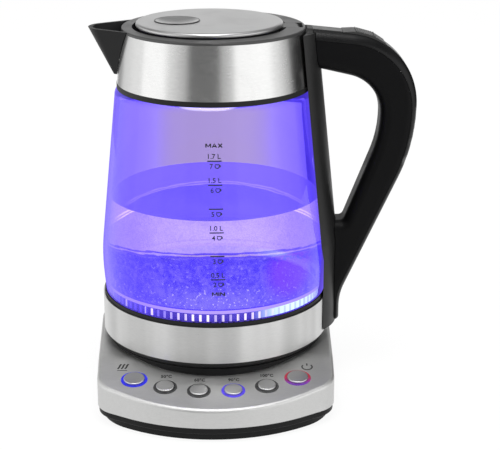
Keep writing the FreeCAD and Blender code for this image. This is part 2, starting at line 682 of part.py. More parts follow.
def make_jug_foot():
    """Bottom cover, steel band, seal, light guide, heater and the connector under it."""
    wall = S.band_radius - S.band_sheet - S.fit_gap
    tube = S.tower_radius + S.socket_gap + S.socket_wall + S.socket_gap
    tube_top = TOWER_TOP + S.socket_roof
    ledge = PLATE_RADIUS - S.cover_wall
    node(spin("jug_bottom_cover", [
        (tube, JUG_LOW), (COVER_RADIUS - S.cover_chamfer, JUG_LOW),
        (COVER_RADIUS, JUG_LOW + S.cover_chamfer), (COVER_RADIUS, S.band_bottom - S.cover_lip),
        (S.band_radius - S.band_sheet / 2, S.band_bottom - S.cover_lip),
        (S.band_radius - S.band_sheet / 2, S.band_bottom), (wall, S.band_bottom), (wall, BAND_TOP),
        (ledge, BAND_TOP), (ledge, BAND_TOP - S.cover_ledge), (wall - S.cover_wall, BAND_TOP - S.cover_ledge),
        (wall - S.cover_wall, JUG_LOW + S.cover_wall), (tube + S.collar_tube_wall, JUG_LOW + S.cover_wall),
        (tube + S.collar_tube_wall, tube_top), (tube, tube_top)]))
    node(spin("lower_band", [
        (S.band_radius - S.band_sheet, S.band_bottom), (S.band_radius, S.band_bottom),
        (S.band_radius, BAND_TOP), (S.band_radius - S.band_sheet, BAND_TOP)]))
    seal_inside = SEAL_RADIUS - S.seal_width
    node(spin("lower_seal", [
        (seal_inside, BAND_TOP), (SEAL_RADIUS, BAND_TOP), (SEAL_RADIUS, GLASS_LOW),
        (seal_inside, GLASS_LOW)]))
    guide_outside = seal_inside - S.running_gap
    node(spin("light_guide", [
        (guide_outside - S.guide_width, BAND_TOP), (guide_outside, BAND_TOP),
        (guide_outside, BAND_TOP + S.guide_height),
        (guide_outside - S.guide_width, BAND_TOP + S.guide_height)]))
    led_top = BAND_TOP - S.cover_ledge
    led_low = led_top - S.led_board_sheet
    led_outside = wall - S.cover_wall - S.running_gap
    node(spin("led_board", [
        (ledge, led_low), (led_outside, led_low), (led_outside, led_top), (ledge, led_top)]))

    plate_top = BAND_TOP + S.plate_lift
    plate_low = plate_top - S.plate_sheet
    node(spin("heater_plate", [
        (0, plate_low), (PLATE_RADIUS - S.plate_sheet, plate_low), (PLATE_RADIUS - S.plate_sheet, BAND_TOP),
        (PLATE_RADIUS, BAND_TOP), (PLATE_RADIUS, plate_top, S.plate_sheet), (0, plate_top)]))
    spreader_low = plate_low - S.spreader_height
    node(spin("heat_spreader", [
        (0, spreader_low), (SPREADER_RADIUS, spreader_low), (SPREADER_RADIUS, plate_low), (0, plate_low)]))
    element_low = spreader_low - S.element_height
    element_in = ELEMENT_RADIUS - S.element_width / 2
    element_out = ELEMENT_RADIUS + S.element_width / 2
    node(spin("heating_element", [
        (element_in, element_low, S.element_width / 4), (element_out, element_low, S.element_width / 4),
        (element_out, spreader_low), (element_in, spreader_low)], S.element_sweep))
    ends = []
    for i, turn in enumerate((S.terminal_turn, S.element_sweep - S.terminal_turn)):
        start = (ELEMENT_RADIUS * cosine(turn), ELEMENT_RADIUS * sine(turn), element_low - S.terminal_length)
        ends.append(rod(f"terminal_{i}", start, S.terminal_radius, S.terminal_length))
    node(group("element_terminals", ends))
    node(rod("thermal_cutout", (0, CUTOUT_Y, spreader_low - S.cutout_height), S.cutout_radius,
             S.cutout_height))

    cavity = S.tower_radius + S.socket_gap
    roof = TOWER_TOP + S.socket_roof
    skirt = cavity + S.socket_wall
    head_low = roof + S.running_gap
    head_radius = tube + S.collar_tube_wall + S.socket_head_lap
    node(spin("jug_connector", [
        (0, roof), (cavity, roof), (cavity, JUG_LOW + S.socket_roof), (skirt, JUG_LOW + S.socket_roof),
        (skirt, head_low), (head_radius, head_low), (head_radius, head_low + S.socket_head),
        (0, head_low + S.socket_head)]))
    node(rod("contact_pin", (0, 0, roof - CONTACT_PIN_LENGTH), CONTACT_PIN_RADIUS, CONTACT_PIN_LENGTH))


def make_jug_wall():
    """Glass, upper seal and upper steel band."""
    inner = S.glass_wall
    top = glass_radius(GLASS_TOP)
    node(spin("glass_jug", [
        (GLASS_FOOT - inner, GLASS_LOW), (GLASS_FOOT, GLASS_LOW),
        (BULGE_RADIUS, BULGE_LEVEL, S.bulge_round), (top, GLASS_TOP), (top - inner, GLASS_TOP),
        (BULGE_RADIUS - inner, BULGE_LEVEL, S.bulge_round - inner)]))
    seal_in = UPPER_SEAL_RADIUS - S.upper_seal_width
    node(spin("upper_seal", [
        (seal_in, GLASS_TOP), (UPPER_SEAL_RADIUS, GLASS_TOP), (UPPER_SEAL_RADIUS, UPPER_BAND_LOW),
        (seal_in, UPPER_BAND_LOW)]))
    low = upper_band_radius(UPPER_BAND_LOW)
    high = upper_band_radius(UPPER_BAND_TOP)
    band = spin("upper_band_form", [
        (low - S.band_sheet, UPPER_BAND_LOW), (low, UPPER_BAND_LOW), (high, UPPER_BAND_TOP),
        (high - S.band_sheet, UPPER_BAND_TOP)])
    node(cut("upper_band", band, spout_port("band_port"), latch_way("band_latch_way")))


def spout_port(label):
    """The hole behind the spout that the water leaves the jug by."""
    return box(label, (-SPOUT_TIP, -S.port_half_width, PORT_LOW), (-SPOUT_ROOT, S.port_half_width, PORT_HIGH))


def latch_way(label):
    """The passage that the latch slider runs in."""
    gap = S.running_gap
    return box(label, (LATCH_NOSE - S.button_travel, -S.latch_half - gap, LATCH_LOW - gap),
               (LATCH_TAIL + S.button_travel + gap, S.latch_half + gap, LATCH_LOW + S.latch_height + gap))


def make_collar():
    """The moulded frame in the jug's mouth, with the spout, its filter and the hinge pin."""
    sheet = S.band_sheet + S.fit_gap
    low = upper_band_radius(UPPER_BAND_LOW) - sheet
    high = upper_band_radius(UPPER_BAND_TOP) - sheet
    rim = upper_band_radius(UPPER_BAND_TOP)
    rim_low = RIM_TOP - S.rim_thickness
    inner_low = low - S.collar_wall
    inner_high = upper_band_radius(rim_low) - sheet - S.collar_wall
    narrow = THROAT - S.lid_offset * 2
    ring = spin("collar_ring", [
        (inner_low, UPPER_BAND_LOW), (low, UPPER_BAND_LOW), (high, UPPER_BAND_TOP), (rim, UPPER_BAND_TOP),
        (rim, RIM_TOP, S.rim_round), (narrow, RIM_TOP), (narrow, rim_low), (inner_high, rim_low)])
    throat = rod("throat_tube", (-S.lid_offset, 0, rim_low - S.throat_depth), THROAT + S.throat_wall,
                 S.throat_depth + S.rim_thickness / 2)
    slot_half = S.barrel_half + S.hinge_side_gap
    ears = [box(f"hinge_ear_{side}", (HINGE_X - S.ear_half, y, HINGE_Z - S.barrel_radius),
                (HINGE_X + S.ear_half, y + S.ear_width, rim_low + S.rim_thickness / 2))
            for side, y in (("back", slot_half), ("front", -slot_half - S.ear_width))]
    mouth = rod("mouth_hole", (-S.lid_offset, 0, rim_low - S.throat_depth * 2), THROAT,
                S.throat_depth * 3)
    slot = box("hinge_slot", (0, -slot_half, HINGE_Z - S.barrel_radius - S.hinge_slot_margin),
               (HINGE_X + S.barrel_radius + S.hinge_slot_margin, slot_half, RIM_TOP + S.cut_margin))
    half_pin = slot_half + S.ear_width
    pin_hole = rod("hinge_pin_hole", (HINGE_X, -half_pin, HINGE_Z), S.hinge_pin_radius + S.pin_gap / 2,
                   half_pin * 2, "Y")
    solid = join("collar_solid", ring, throat, *ears)
    node(cut("collar", solid, mouth, slot, pin_hole, spout_port("collar_port"),
             latch_way("collar_latch_way")))
    node(rod("hinge_pin", (HINGE_X, -half_pin, HINGE_Z), S.hinge_pin_radius, half_pin * 2, "Y"))

    level = RIM_TOP - S.spout_level
    spout = new_body("spout_form")
    for kind, inset, top, floor in (("Additive", sized(0), level, sized(0)),
                                    ("Subtractive", S.spout_wall, level + S.spout_wall, S.spout_floor)):
        sections = []
        for name, tip, nose, height in (
                ("top", SPOUT_TIP, S.spout_nose, top),
                ("low", SPOUT_LOW_TIP, S.spout_low_nose, level - S.spout_drop + floor)):
            section = sketch_on(spout, "XY_Plane", f"spout_{kind}_{name}", height)
            round_in = nose - inset * (1 if name == "top" else 0.5)
            far = tip - inset + round_in * (1 / sine(S.spout_angle) - 1)
            half = (far - SPOUT_ROOT) * tangent(S.spout_angle)
            draw(section, [(-far, 0, round_in), (-SPOUT_ROOT, -half), (-SPOUT_ROOT, half)])
            sections.append(section)
        loft = spout.newObject(f"PartDesign::{kind}Loft", f"spout_{kind}_loft")
        loft.Profile = sections[0]
        loft.Sections = sections[1:]
        loft.Ruled = True
    cone = DOC.addObject("Part::Cone", "band_cone")
    cone_low = GLASS_TOP - S.spout_drop
    cone_high = RIM_TOP + S.spout_drop
    bind(cone, "Radius1", upper_band_radius(cone_low) + S.running_gap)
    bind(cone, "Radius2", upper_band_radius(cone_high) + S.running_gap)
    bind(cone, "Height", cone_high - cone_low)
    place(cone, z=cone_low)
    node(cut("spout", spout, cone))
    make_filter(inner_high, rim_low)


def make_filter(inner_radius, top):
    """A flat grid of bars across the spout's port, inside the collar."""
    near = -(S.lid_offset + THROAT + S.throat_wall + S.running_gap)
    outer_face = near - S.filter_sheet
    wide = root(inner_radius * inner_radius - outer_face * outer_face) - S.fit_gap
    low = PORT_LOW - S.filter_margin

    def bar(name, y0, y1, z0, z1):
        return box(f"filter_{name}", (outer_face, y0, z0), (near, y1, z1))

    edge = S.filter_frame
    bars = [bar("left", -wide, edge - wide, low, top), bar("right", wide - edge, wide, low, top),
            bar("foot", -wide, wide, low, low + edge), bar("head", -wide, wide, top - edge, top)]
    columns = int(S.filter_columns.value)
    for i in range(1, columns):
        middle = wide * (2 * i / columns - 1)
        bars.append(bar(f"column_{i}", middle - S.filter_bar / 2, middle + S.filter_bar / 2, low, top))
    rows = int(S.filter_rows.value)
    for i in range(1, rows):
        middle = low + (top - low) * (i / rows)
        bars.append(bar(f"row_{i}", -wide, wide, middle - S.filter_bar / 2, middle + S.filter_bar / 2))
    node(join("spout_filter", *bars))


def make_lid():
    """Steel cap, plug with its hinge arm, gasket and under-plate."""
    def on_axis(thing):
        return place(thing, x=-S.lid_offset)

    top = LID_LOW + S.lid_sheet
    cap = on_axis(spin("lid_cap_form", [
        (0, LID_LOW), (LID_RADIUS - S.lid_chamfer, LID_LOW), (LID_RADIUS, LID_LOW + S.lid_chamfer),
        (LID_RADIUS, top, S.lid_round), (0, top)]))
    ball_radius = (S.dimple_radius * S.dimple_radius + S.dimple_depth * S.dimple_depth) / (2 * S.dimple_depth)
    ball = DOC.addObject("Part::Sphere", "dimple_ball")
    bind(ball, "Radius", ball_radius)
    place(ball, -S.dimple_place, 0, top + ball_radius - S.dimple_depth)
    lip = rod("dimple_lip", (-S.dimple_place, 0, LID_LOW + S.lid_round), S.dimple_lip,
              S.lid_sheet - S.lid_round + S.dimple_lip_height)
    node(cut("lid_cap", join("lid_cap_lipped", cap, lip), ball))

    groove_top = LID_LOW - S.gasket_drop
    groove_low = groove_top - S.gasket_height
    groove = PLUG_RADIUS - S.gasket_groove - S.plug_draft
    plug = on_axis(spin("plug_form", [
        (0, PLUG_LOW), (PLUG_RADIUS - S.plug_draft, PLUG_LOW), (PLUG_RADIUS - S.plug_draft, groove_low),
        (groove, groove_low), (groove, groove_top), (PLUG_RADIUS - S.plug_draft, groove_top),
        (PLUG_RADIUS, LID_LOW), (0, LID_LOW)]))
    arm_start = PLUG_RADIUS - S.lid_offset - S.plug_depth
    arm = box("lid_arm", (arm_start, -S.barrel_half, HINGE_Z - S.arm_depth),
              (HINGE_X, S.barrel_half, HINGE_Z + S.barrel_radius))
    barrel = rod("hinge_barrel", (HINGE_X, -S.barrel_half, HINGE_Z), S.barrel_radius, S.barrel_half * 2, "Y")
    catch = box("lid_catch", (arm_start, -S.catch_half, PLUG_LOW - S.catch_height / 2),
                (CATCH_TIP, S.catch_half, PLUG_LOW + S.catch_height / 4))
    bore = rod("barrel_bore", (HINGE_X, -S.barrel_half * 2, HINGE_Z), S.hinge_pin_radius + S.pin_gap,
               S.barrel_half * 4, "Y")
    node(cut("lid_body", join("plug_with_arm", plug, arm, barrel, catch), bore))
    gasket = on_axis(spin("gasket_form", [
        (groove + S.fit_gap, groove_low), (PLUG_RADIUS - S.plug_draft + S.gasket_reach, groove_low),
        (PLUG_RADIUS - S.plug_draft + S.gasket_reach, groove_top, S.gasket_height / 4),
        (groove + S.fit_gap, groove_top)]))
    arm_room = box("gasket_arm_room", (0, -S.barrel_half - S.fit_gap, groove_low - S.cut_margin),
                   (HINGE_X, S.barrel_half + S.fit_gap, groove_top + S.cut_margin))
    node(cut("lid_gasket", gasket, arm_room))
    liner = on_axis(spin("liner_form", [
        (0, PLUG_LOW - S.liner_sheet), (PLUG_RADIUS - S.plug_draft - S.liner_inset, PLUG_LOW - S.liner_sheet),
        (PLUG_RADIUS - S.plug_draft - S.liner_inset, PLUG_LOW), (0, PLUG_LOW)]))
    side = box("liner_catch_side",
               (arm_start - S.fit_gap, -S.catch_half - S.fit_gap, PLUG_LOW - S.catch_height),
               (HINGE_X, S.catch_half + S.fit_gap, PLUG_LOW))
    node(cut("lid_liner", liner, side))


def jug_form(label, gap):
    """The jug's outer shape as a solid, grown by gap, that the handle stands clear of."""
    bottom = GRIP_FOOT / 2
    top = GRIP_TOP + S.grip_width
    foot = S.band_radius + gap
    return spin(label, [(0, bottom), (foot, bottom), (foot, BULGE_LEVEL),
                        (glass_radius(top) + gap, top), (0, top)])


def stay_form(label, gap):
    """The crowned strip along the jug that carries the handle, as a loft of three circles."""
    body = new_body(label)
    sections = []
    middle = glass_radius(STAY_MID) + S.stay_thickness
    for name, level, reach, radius in (
            ("top", STAY_TOP, glass_radius(STAY_TOP) + S.stay_thickness, S.stay_top_radius),
            ("middle", STAY_MID, middle, S.stay_mid_radius), ("foot", GRIP_FOOT, middle, S.stay_mid_radius)):
        section = sketch_on(body, "XY_Plane", f"{label}_{name}", level)
        draw_circle(section, reach - radius, 0, radius + gap)
        sections.append(section)
    loft = body.newObject("PartDesign::AdditiveLoft", label + "_loft")
    loft.Profile = sections[0]
    loft.Sections = sections[1:]
    loft.Ruled = True
    return body


def handle_outline(inset_top, inset_side, inset_foot):
    """The handle's outer side view, drawn in from the top, the outer side and the foot."""
    reach = GRIP_REACH - inset_side
    run = (GRIP_REACH - GRIP_FOOT_X) / (GRIP_TURN - GRIP_HEEL)
    heel_x = GRIP_FOOT_X - inset_foot
    heel = GRIP_TURN - (reach - heel_x) / run
    return [(ROOT_X, GRIP_TOP - inset_top), (reach, GRIP_TOP - S.grip_top_fall - inset_top,
                                                 S.grip_top_radius - inset_side),
            (reach, GRIP_TURN, S.grip_turn_radius - inset_side), (heel_x, heel, S.grip_heel_radius)]


def handle_form(label, width):
    """The whole handle with its finger gap and rounded sides, before it is split into pieces."""
    body = new_body(label)
    side = sketch_on(body, "XZ_Plane", label + "_side")
    draw(side, handle_outline(0, 0, 0) + [(GRIP_FOOT_X, GRIP_FOOT, S.grip_foot_radius),
                                          (ROOT_X, GRIP_FOOT)])
    draw(side, [(ROOT_X + S.fit_gap, GAP_TOP), (GAP_REACH, GAP_TOP - S.gap_top_fall, S.gap_top_radius),
                (GAP_REACH, GAP_TURN, S.gap_turn_radius),
                (GAP_BOTTOM_X, GAP_BOTTOM, S.gap_bottom_radius), (ROOT_X + S.fit_gap, GAP_BOTTOM)])
    pad(body, side, width, symmetric=True)

    def on_side(edge, shape):
        flat = edge.BoundBox.YLength < FLATNESS
        return flat and edge.BoundBox.XMax > (ROOT_X + S.cut_margin).value

    round_edges(body, on_side, S.grip_round)
    return body


def make_handle():
    """Stay, grip, outer cover, hinge block, release button and latch."""
    node(cut("handle_stay", stay_form("stay_form", sized(0)), latch_way("stay_latch_way"),
             jug_form("stay_jug", S.running_gap)))

    rooms = (jug_form("handle_jug", S.running_gap), stay_form("stay_room", S.fit_gap),
             latch_way("handle_latch_way"), button_shape("button_room", S.running_gap,
                                                         S.button_travel + S.running_gap))

    def inside_seam(label, gap):
        body = new_body(label)
        sketch = sketch_on(body, "XZ_Plane", label + "_side")
        low = GRIP_FOOT / 2
        outline = handle_outline(S.cover_top + gap, S.cover_side + gap, S.cover_foot + gap)
        draw(sketch, outline + [(GRIP_FOOT_X - S.cover_foot - gap, low), (ROOT_X, low)])
        pad(body, sketch, S.grip_width * 2, symmetric=True)
        return body

    grip_form = handle_form("grip_form", S.grip_width - 2 * S.seam_gap)
    core = overlap("handle_core", grip_form, inside_seam("grip_seam", S.seam_gap))
    node(cut("handle_grip", core, *rooms))
    skin = cut("handle_skin", handle_form("cover_form", S.grip_width), inside_seam("cover_seam", sized(0)))
    block_box = box("block_box", (0, -S.grip_width, GAP_TOP), (BLOCK_END, S.grip_width, GRIP_TOP * 2))
    cover_box = box("cover_box", (0, -S.grip_width, GAP_TOP),
                    (BLOCK_END + S.seam_gap, S.grip_width, GRIP_TOP * 2))
    node(cut("hinge_block", overlap("hinge_block_form", skin, block_box), *rooms[:2]))
    node(cut("handle_cover", skin, cover_box, *rooms))
    node(button_shape("lid_button", sized(0), sized(0)))
    node(box("latch_slider", (LATCH_NOSE, -S.latch_half, LATCH_LOW),
             (LATCH_TAIL, S.latch_half, LATCH_LOW + S.latch_height)))


def button_shape(label, gap, below):
    """The release button square to the handle's top arc, grown by gap and lengthened below."""
    body = new_body(label)
    sketch = sketch_on(body, "XZ_Plane", label + "_side")
    fall = S.grip_top_fall / (GRIP_REACH - ROOT_X)
    half_turn = root(1 + fall * fall) - fall
    centre_x = GRIP_REACH - S.grip_top_radius
    centre_z = GRIP_TOP - S.grip_top_fall - S.grip_top_radius * half_turn
    sketch.AttachmentOffset = Placement(Vector(), Rotation(Vector(0, 0, 1), 1))
    bind(sketch, "AttachmentOffset.Rotation.Angle", S.button_angle - 90)
    bind(sketch, "AttachmentOffset.Base.x", centre_x)
    bind(sketch, "AttachmentOffset.Base.y", centre_z)
    half = S.button_half + gap
    arc_end = root(S.grip_top_radius * S.grip_top_radius - S.button_half * S.button_half)
    crown = S.grip_top_radius + S.button_crown + gap
    shoulder = arc_end + S.button_edge + gap
    low = S.grip_top_radius - S.button_depth - below
    draw(sketch, [(-half, low), (half, low), (half, shoulder, S.button_round),
                  (S.button_crown_half, crown, S.button_crown_round),
                  (-S.button_crown_half, crown, S.button_crown_round), (-half, shoulder, S.button_round)])
    pad(body, sketch, S.button_width + 2 * gap, symmetric=True)
    return body


def check_document():
    """Stops if any object failed or any finished piece has no valid solid."""
    DOC.recompute()
    failed = [thing.Label for thing in DOC.Objects if {"Invalid", "Error"} & set(thing.State)]
    bad = [thing.Label for thing in NODES
           if thing.Shape.isNull() or not thing.Shape.isValid() or not thing.Shape.Solids]
    if failed or bad:
        raise RuntimeError(f"failed objects {failed}, pieces without a valid solid {bad}")


def write_parts():
    os.makedirs("parts", exist_ok=True)
    for thing in NODES:
        thing.Shape.exportStep(f"parts/{thing.Label}.step")
        print(f"{thing.Label}: {len(thing.Shape.Solids)} solid, {thing.Shape.Volume:.0f} mm3")


make_base()
make_base_electrics()
make_keys()
make_jug_foot()
make_jug_wall()
make_collar()
make_lid()
make_handle()
check_document()
write_parts()
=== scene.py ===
"""Finishes, water, markings and studio for a cordless glass kettle that stands on a powered base.

Everything is in metres, in the frame of the packed model: the jug's axis is Z, the floor is z = 0, the handle
points to +X and the keys to -Y.
"""
import json
import math

import bmesh
import bpy
from bpy.props import FloatProperty, FloatVectorProperty, IntProperty, PointerProperty
from bpy.types import Operator, Panel, PropertyGroup
from mathutils import Matrix, Vector


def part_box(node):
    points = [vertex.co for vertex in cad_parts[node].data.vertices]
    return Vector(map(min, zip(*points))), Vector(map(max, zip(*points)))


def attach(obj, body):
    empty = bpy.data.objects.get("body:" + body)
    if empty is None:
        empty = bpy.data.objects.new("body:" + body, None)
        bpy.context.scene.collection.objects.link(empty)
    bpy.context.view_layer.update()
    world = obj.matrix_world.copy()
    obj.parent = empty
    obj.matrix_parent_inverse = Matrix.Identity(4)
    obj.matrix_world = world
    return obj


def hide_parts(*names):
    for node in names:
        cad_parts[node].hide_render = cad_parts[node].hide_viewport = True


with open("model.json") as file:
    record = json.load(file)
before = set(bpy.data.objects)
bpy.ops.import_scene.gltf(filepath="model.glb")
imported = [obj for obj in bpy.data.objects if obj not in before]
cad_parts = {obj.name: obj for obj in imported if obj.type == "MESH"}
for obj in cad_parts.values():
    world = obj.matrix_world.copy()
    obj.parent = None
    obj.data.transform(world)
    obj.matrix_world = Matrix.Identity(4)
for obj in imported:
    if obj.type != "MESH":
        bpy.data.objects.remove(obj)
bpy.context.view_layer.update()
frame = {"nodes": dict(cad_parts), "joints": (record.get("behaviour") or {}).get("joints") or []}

bl_info = {
    "name": "Glass kettle dressing",
    "version": (1, 0, 0),
    "blender": (4, 5, 0),
    "location": "View3D > Sidebar > Kettle",
    "description": "Gives the packed kettle its finishes, water, markings and studio",
    "category": "Object",
}


def joint_axis(name):
    """The direction that a joint moves along, as a unit vector."""
    return Vector(next(joint["axis"] for joint in frame["joints"] if joint["name"] == name)).normalized()


NODES = frame["nodes"]
SLOT_NODES = {}
for node_name, packed in NODES.items():
    SLOT_NODES.setdefault(packed.material_slots[0].material.name, []).append(node_name)
KEYS = ("keep_warm", "50", "60", "90", "100", "power")
PANEL_NORMAL = -joint_axis("key_50_press")
PANEL_UP = PANEL_NORMAL.cross(Vector((1, 0, 0)))
BUTTON_UP = -joint_axis("button_press")
PLATE_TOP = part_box("heater_plate")[1].z
PLATE_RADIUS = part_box("heater_plate")[1].x
GUIDE_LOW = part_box("light_guide")[0].z
GUIDE_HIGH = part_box("light_guide")[1].z
GUIDE_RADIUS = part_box("light_guide")[1].x
# Middle of the lid's dimple in plan, and the radius of the lip round it
DIMPLE = (-0.024, 0.0, 0.0)
DIMPLE_LIP = 0.0149
BLACK = (0.0, 0.0, 0.0)
WHITE = (1.0, 1.0, 1.0)


def length(name, description, default):
    """A length that a user may change, in metres."""
    return FloatProperty(name=name, description=description, default=default, min=0.0, precision=5,
                         subtype="DISTANCE", unit="LENGTH")


def share(name, description, default):
    """A plain number between nothing and one."""
    return FloatProperty(name=name, description=description, default=default, min=0.0, max=1.0,
                         subtype="FACTOR")


def angle(name, description, default):
    """A turn, in radians."""
    return FloatProperty(name=name, description=description, default=default, subtype="ANGLE",
                         unit="ROTATION")


def colour(name, description, default):
    """A colour in linear light."""
    return FloatVectorProperty(name=name, description=description, default=default, size=3, min=0.0, max=1.0,
                               subtype="COLOR")


class KettleFinishes(PropertyGroup):
    """Colours and roughness of the metal, the plastics and the glass."""
    band_steel: colour("Band steel", "Brushed steel of the two bands on the jug", (0.64, 0.64, 0.635))
    base_steel: colour("Base steel", "Brushed steel of the base", (0.58, 0.58, 0.575))
    lid_steel: colour("Lid steel", "Satin steel of the lid", (0.52, 0.52, 0.52))
    brushed_roughness: share("Brushed roughness", "Roughness of the brushed steel", 0.23)
    moulded_black: colour("Moulded black", "Plastic of the seat and the tray", (0.006, 0.006, 0.0063))
    rim_black: colour("Rim black", "Plastic of the rim", (0.03, 0.03, 0.03))
    grip_black: colour("Grip black", "Plastic of the handle", (0.003, 0.003, 0.0033))
    satin_black: colour("Satin black", "Strip along the jug, hinge block and bottom cover",
                        (0.008, 0.008, 0.008))
    button_black: colour("Button black", "Plastic of the lid button", (0.016, 0.016, 0.016))
    rubber_black: colour("Rubber black", "Seals and feet", (0.009, 0.009, 0.009))
    glass_absorption: colour("Glass absorption", "Colour that the lit glass lets through", (0.24, 0.0, 0.74))
    glass_density: FloatProperty(name="Glass density", default=190.0, min=0.0,
                                 description="How strongly the glass absorbs, per metre")
    glass_edge: colour("Glass edge", "Colour that passes where the wall is seen edge on", (0.62, 0.60, 1.0))
    glass_side: colour("Glass side", "Light in the outline of the glass", (0.20, 0.13, 0.98))
    glass_glow: colour("Glass glow", "Light that leaves the glass at its edges", (0.035, 0.02, 0.30))
    glass_lens: colour("Glass lens", "Light caught in the shoulder under the upper seal", (0.34, 0.33, 0.36))
    lit_blue: colour("Lit blue", "Light ring of the keep warm key", (0.03, 0.03, 0.68))
    lit_violet: colour("Lit violet", "Light ring of the set temperature", (0.10, 0.065, 0.72))
    lit_red: colour("Lit red", "Back of the power key's ring", (0.38, 0.03, 0.055))
    lit_purple: colour("Lit purple", "Front of the power key's ring", (0.15, 0.04, 0.38))


class KettleWater(PropertyGroup):
    """The lit water in the jug."""
    level: length("Level", "Height of the water's surface above the floor", 0.1363)
    wall_gap: length("Wall gap", "Space between the water and what holds it", 0.0002)
    climb: length("Climb", "How far the water climbs the glass at its edge", 0.0002)
    boil_level: length("Boil level", "Height up to which the water is full of small bubbles", 0.1125)
    pale: colour("Pale", "Light in the calm water", (0.56, 0.47, 0.45))
    deep: colour("Deep", "Light in the bubbling water", (0.03, 0.015, 0.64))
    mist: colour("Mist", "Light where the bubbles crowd", (0.17, 0.14, 0.78))
    foam: colour("Foam", "Light where they rise in front", (0.27, 0.26, 0.62))
    violet: colour("Violet", "Light in the patch at the right", (0.26, 0.02, 0.78))
    edge: colour("Edge", "Light in the lines along the boil's edge", (0.05, 0.03, 0.60))
    surface: colour("Surface", "Light in the water's surface", (0.18, 0.14, 0.62))
    bubble_density: FloatProperty(name="Bubble density", default=42000.0, min=0.0,
                                  description="Bubbles on each square metre of wall")
    bubble_size: length("Bubble size", "Radius of the largest bubbles", 0.00045)
    bubble_seed: IntProperty(name="Bubble seed", description="Start of the random draw of bubbles", default=4)


class KettleMarks(PropertyGroup):
    """Printed marks on the glass and on the key panel."""
    tick_low: length("Lowest tick", "Height of the half litre line", 0.0988)
    tick_pitch: length("Tick pitch", "Height from one line to the next", 0.01546)
    tick_width: length("Tick width", "Length of a line", 0.0092)
    tick_stroke: length("Tick stroke", "Thickness of a line", 0.0008)
    turn: angle("Turn", "Turn of the scale from the front of the jug", math.radians(1.4))
    lean: angle("Lean", "How far the column of marks leans to the left", math.radians(1.15))
    letter_height: length("Letter height", "Height of the figures on the glass", 0.0032)
    label_height: length("Label height", "Height of the panel's figures before they are drawn out", 0.002448)
    label_step: length("Label step", "Distance of a label from the middle of its key", 0.0124)
    ink: length("Ink", "Thickness of the print", 0.00006)


class KettleStudio(PropertyGroup):
    """Camera and light."""
    eye: FloatVectorProperty(name="Eye", description="Place of the camera", size=3, subtype="TRANSLATION",
                             unit="LENGTH", default=(0.00148, -0.93866, 0.42007))
    pitch: angle("Pitch", "How far the camera looks down", 0.3187)
    turn: angle("Turn", "How far the camera looks to the side", -0.0244)
    lens: FloatProperty(name="Lens", description="Focal length in millimetres on a 36 mm film", default=102.3)
    ambient: share("Ambient", "Strength of the light from all round", 1.0)
    screen_radius: length("Screen radius", "Distance of the screen that the steel mirrors", 0.85)
    screen_height: length("Screen height", "Height of that screen", 1.5)


def add(tree, kind, inputs=None, **settings):
    """A new node with its settings, and its inputs joined to a socket or set to a value."""
    made = tree.nodes.new(kind)
    for name, value in settings.items():
        setattr(made, name, value)
    for key, value in (inputs or {}).items():
        if isinstance(value, bpy.types.NodeSocket):
            tree.links.new(value, made.inputs[key])
        else:
            made.inputs[key].default_value = value
    return made


def feed(shader, **sockets):
    """Joins values to a shader's inputs, whose names have spaces where these have underscores."""
    for name, value in sockets.items():
        shader.id_data.links.new(value, shader.inputs[name.replace("_", " ")])


def rgba(values):
    return (*values, 1.0)


def toned(values, factor):
    """A colour made lighter or darker."""
    return [min(1.0, channel * factor) for channel in values]


def math_node(tree, operation, first, second=0.0, clamp=False):
    """The result of a sum on two sockets or numbers."""
    return add(tree, "ShaderNodeMath", {0: first, 1: second}, operation=operation, use_clamp=clamp).outputs[0]


def times(tree, first, second):
    return math_node(tree, "MULTIPLY", first, second)


def plus(tree, first, second):
    return math_node(tree, "ADD", first, second)


def greater(tree, first, second):
    return math_node(tree, "MAXIMUM", first, second)


def fade(tree, value, low, high, start=0.0, end=1.0):
    """The value between low and high, eased from start to end."""
    made = add(tree, "ShaderNodeMapRange", {0: value, 1: low, 2: high, 3: start, 4: end},
               interpolation_type="SMOOTHSTEP")
    return made.outputs[0]


def thin_line(tree, value, middle, half):
    """A mask that is one within half of the middle and soft at its sides."""
    off = math_node(tree, "ABSOLUTE", math_node(tree, "SUBTRACT", value, middle))
    return fade(tree, off, half, half * 0.4)


def blend_colours(tree, mask, first, second):
    """Two colours or colour sockets mixed by a mask that changes over the surface."""
    pick = {0: mask, 6: first if isinstance(first, bpy.types.NodeSocket) else rgba(first),
            7: second if isinstance(second, bpy.types.NodeSocket) else rgba(second)}
    return add(tree, "ShaderNodeMix", pick, data_type="RGBA").outputs[2]


def vector_node(tree, operation, first, second=(0.0, 0.0, 0.0)):
    return add(tree, "ShaderNodeVectorMath", {0: first, 1: second}, operation=operation).outputs


def drawn_out(tree, place, factors):
    """A place with each of its axes stretched."""
    return vector_node(tree, "MULTIPLY", place, factors)[0]


def in_plan(tree, place):
    """A place brought down to z = 0."""
    return drawn_out(tree, place, (1.0, 1.0, 0.0))


def scaled(tree, tone, factor):
    """A colour made lighter or darker over the surface."""
    return add(tree, "ShaderNodeVectorMath", {0: tone, 3: factor}, operation="SCALE").outputs[0]


def axes_of(tree, vector):
    return add(tree, "ShaderNodeSeparateXYZ", {0: vector}).outputs


def noise(tree, vector, scale, detail=2.0, roughness=0.5, distortion=0.0):
    made = add(tree, "ShaderNodeTexNoise", {"Vector": vector, "Scale": scale, "Detail": detail,
                                            "Roughness": roughness, "Distortion": distortion})
    return made.outputs[0]


